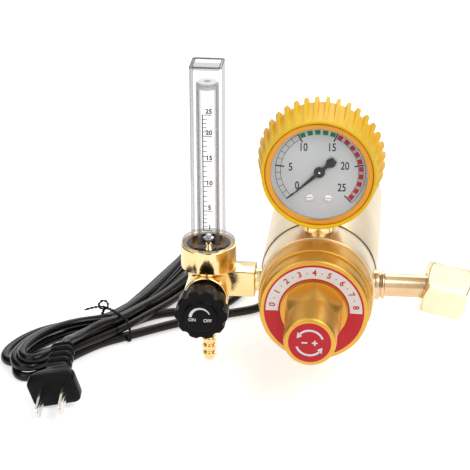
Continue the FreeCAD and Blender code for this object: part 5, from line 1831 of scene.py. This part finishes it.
    def wire(self, places: Sequence[Vector], radius: float) -> list[bpy.types.Mesh]:
        """Make two thin strands twisted along a smooth line.

        Args:
            places: The line's points, in millimetres.
            radius: Radius of the pair.

        Returns:
            The strands' meshes.
        """
        curve = smooth_curve("wire", places, 10)
        line = plain(bench_object("wire", curve))
        bpy.data.curves.remove(curve)
        spots = [vertex.co.copy() for vertex in line.vertices]
        strand, twist, sides = radius * 0.6, 1.3, 6
        meshes = []
        for phase in (0.0, math.pi):
            rings = []
            travelled = 0.0
            normal = Vector((0.3, 0.2, 1.0))
            for k, spot in enumerate(spots):
                ahead = (spots[min(k + 1, len(spots) - 1)] - spots[max(k - 1, 0)]).normalized()
                normal = (normal - ahead * normal.dot(ahead)).normalized()
                other = ahead.cross(normal)
                travelled += (spot - spots[k - 1]).length if k else 0.0
                turn = phase + travelled * twist
                centre = spot + (normal * math.cos(turn) + other * math.sin(turn)) * strand
                rings.append([centre + (normal * math.cos(about) + other * math.sin(about)) * strand
                              for about in (TURN * j / sides for j in range(sides))])
            meshes.append(capped(rings))
        return meshes

    def build(self) -> None:
        cord = self.cord()
        with_pieces = self.plug() + [self.twist_tie()]
        tuple(Bench.at(0, self.tip_y, 0))


@dataclass
class Workings:
    """The inner nodes of the frame, which keep their shape and get their finish."""

    finishes: tuple[tuple[Finish, tuple[str, ...]], ...] = (
        (Finish.BRIGHT_BRASS, ("seat_nozzle", "float_seat", "diaphragm_plate", "spring_button",
                               "adjusting_screw", "gauge_movement", "bourdon_tube")),
        (Finish.STEEL, ("push_pin", "poppet", "slip_washer", "main_spring", "poppet_spring",
                        "inlet_filter", "heater_element", "valve_stem")),
        (Finish.BLACK_RUBBER, ("stem_seal", "tube_seal", "inlet_washer", "diaphragm")),
        (Finish.BLACK_PLASTIC, ("thermostat",)),
        (Finish.CORE_ALUMINIUM, ("heater_core",)),
        (Finish.WHITE_FIBRE, ("insulation_sleeve",)),
        (Finish.WHITE_PLASTIC, ("float_stop",)),
    )

    def dress(self, nodes: dict[str, bpy.types.Object]) -> None:
        """Give each inner node its finish.

        Args:
            nodes: The frame's nodes by name.
        """
        for finish, names in self.finishes:
            for name in names:
                data = nodes[name].data
                data.materials.clear()
                data.materials.append(finish.material())
        LOG.info("workings: %d nodes dressed", sum(len(names) for _, names in self.finishes))


@dataclass
class Studio:
    """Pale floor, soft lamps, and the camera at the photograph's angle."""

    azimuth: float = 5.850
    elevation: float = 24.037
    roll: float = -0.125
    distance: float = 924.442
    aim: Triple = (-42.479, 0.0, 42.877)
    lens: float = 133.86
    room: float = 0.38              # strength of the room's light on the object
    glow: float = 0.54              # the floor's own light where it is seen
    lamps_aim: Triple = (-40.0, 60.0, 20.0)

    def camera(self) -> None:
        """Set up the camera."""
        turns = (self.azimuth, self.elevation, self.roll)
        turn, rise, roll = (math.radians(angle) for angle in turns)
        level = math.cos(rise)
        back = Vector((math.sin(turn) * level, -math.cos(turn) * level, math.sin(rise)))
        right = Vector((math.cos(turn), math.sin(turn), 0))
        up = back.cross(right)
        right, up = (right * math.cos(roll) + up * math.sin(roll),
                     up * math.cos(roll) - right * math.sin(roll))
        data = bpy.data.cameras.new("camera")
        data.lens, data.sensor_width = self.lens, 36.0
        data.clip_start, data.clip_end = 0.01, 20.0
        camera = bench_object("camera", data)
        place = Bench.at(*self.aim) + back * self.distance * MM
        camera.matrix_world = (Matrix.Translation(place)
                               @ Matrix((right, up, back)).transposed().to_4x4())
        bpy.context.scene.camera = camera

    def light_path(self, tree: bpy.types.NodeTree) -> bpy.types.NodeSocket:
        """Find where the background is seen, mirrored or seen through.

        Args:
            tree: The tree that asks.

        Returns:
            A value that is 1 there and 0 elsewhere.
        """
        path = add_node(tree, "ShaderNodeLightPath").outputs
        total = path["Is Camera Ray"]
        for name in ("Is Glossy Ray", "Is Transmission Ray"):
            total = add_node(tree, "ShaderNodeMath", {0: total, 1: path[name]},
                             operation="MAXIMUM").outputs[0]
        return total

    def world(self) -> None:
        """Make a white room."""
        world = bpy.data.worlds.new("room")
        world.use_nodes = True
        bpy.context.scene.world = world
        tree = world.node_tree
        strength = add_node(tree, "ShaderNodeMapRange", {
            "Value": self.light_path(tree), "To Min": self.room, "To Max": 1.0})
        background = tree.nodes["Background"]
        background.inputs["Color"].default_value = (1, 1, 1, 1)
        tree.links.new(strength.outputs["Result"], background.inputs["Strength"])

    def lit(self, name: str, corners: Sequence[Vector], faces: Sequence[Sequence[int]],
            shader: Callable[[bpy.types.NodeTree], bpy.types.Node]) -> bpy.types.Object:
        """Make a flat surface of the studio with a shader of its own.

        Args:
            name: The object's name.
            corners: The corners of its faces, in the frame.
            faces: The faces, by their corners' numbers.
            shader: Adds the shader to a tree and returns its last node.

        Returns:
            The object.
        """
        mesh = bpy.data.meshes.new(name)
        mesh.from_pydata(corners, [], faces)
        material = bpy.data.materials.new(name)
        material.use_nodes = True
        tree = material.node_tree
        tree.nodes.clear()
        add_node(tree, "ShaderNodeOutputMaterial", {"Surface": shader(tree).outputs[0]})
        mesh.materials.append(material)
        shape = bench_object(name, mesh)
        return shape

    def floor(self) -> None:
        """Lay the floor, which keeps the object's shadow."""
        def shader(tree: bpy.types.NodeTree) -> bpy.types.Node:
            """Add matt paint that glows where it is seen.

            Args:
                tree: The floor's tree.

            Returns:
                The shader's last node.
            """
            matt = add_node(tree, "ShaderNodeBsdfDiffuse", {"Color": (0.9, 0.9, 0.9, 1)})
            lift = add_node(tree, "ShaderNodeMath", {0: self.light_path(tree), 1: self.glow},
                            operation="MULTIPLY")
            glow = add_node(tree, "ShaderNodeEmission", {"Strength": lift.outputs[0]})
            return add_node(tree, "ShaderNodeAddShader", {0: matt.outputs[0], 1: glow.outputs[0]})

        half = 4.0
        self.lit("floor", [Bench.at(0, 0, Bench.floor_z) + Vector((x, y, 0)) for x, y in (
            (-half, -half), (half, -half), (half, half), (-half, half))], [(0, 1, 2, 3)], shader)

    def lamp(self, name: str, place: Triple, size: float,
             power: float) -> None:
        """Hang a soft lamp that points at the object.

        Args:
            name: The lamp's name.
            place: Where it hangs, in millimetres.
            size: Its width in metres.
            power: Its power in watts.
        """
        data = bpy.data.lights.new(name, "AREA")
        data.shape, data.size, data.energy = "DISK", size, power
        lamp = bench_object(name, data)
        lamp.location = Bench.at(*place)
        aim = Bench.at(*self.lamps_aim) - lamp.location
        lamp.rotation_euler = aim.to_track_quat("-Z", "Y").to_euler()

    def card(self, name: str, corners: Sequence[Triple], grey: float) -> None:
        """Stand a dark card that only shows in polished metal.

        Args:
            name: The card's name.
            corners: Pairs of corners along it, in millimetres.
            grey: Its brightness.
        """
        card = self.lit(name, [Bench.at(*corner) for corner in corners],
                        [(k, k + 1, k + 3, k + 2) for k in range(0, len(corners) - 2, 2)],
                        lambda tree: add_node(tree, "ShaderNodeEmission", {
                            "Color": (grey, grey * 0.9, grey * 0.8, 1)}))
        card.visible_camera = card.visible_diffuse = card.visible_shadow = False

    def build(self) -> None:
        """Set up the whole studio."""
        self.camera()
        self.world()
        self.floor()
        self.lamp("key_lamp", (500, -500, 900), 0.7, 5.0)
        self.lamp("fill_lamp", (-700, -400, 600), 0.8, 2.0)
        self.lamp("back_lamp", (100, 900, 700), 0.8, 3.0)
        low, high, back = Bench.floor_z + 1, 330.0, 420
        self.card("overhead_card", [(x, y, z) for y, z in (
            (-620, 30), (-620, 420), (-380, 640), (0, 720), (380, 560)) for x in (-120, 95)], 0.14)
        for name, x, front, grey in (("left_card", -420, -260, 0.03),
                                     ("right_card", 330, -120, 0.05)):
            self.card(name, [(x, y, z) for y in (front, back) for z in (low, high)], grey)
        bpy.context.scene.view_settings.view_transform = "Standard"


def main() -> None:
    """Load the frame, dress it and report each piece."""
    logging.basicConfig(level=logging.INFO, format="%(message)s")
    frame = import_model()
    Bench.find(barrel_y=46.1)
    Studio().build()
    PowerCord().build()
    SpringHousing().build()
    HeaterBarrel().build()
    Inlet().build()
    Flowmeter().build()
    Gauge().build()
    Workings().dress(frame["nodes"])


if __name__ == "__main__":
    main()
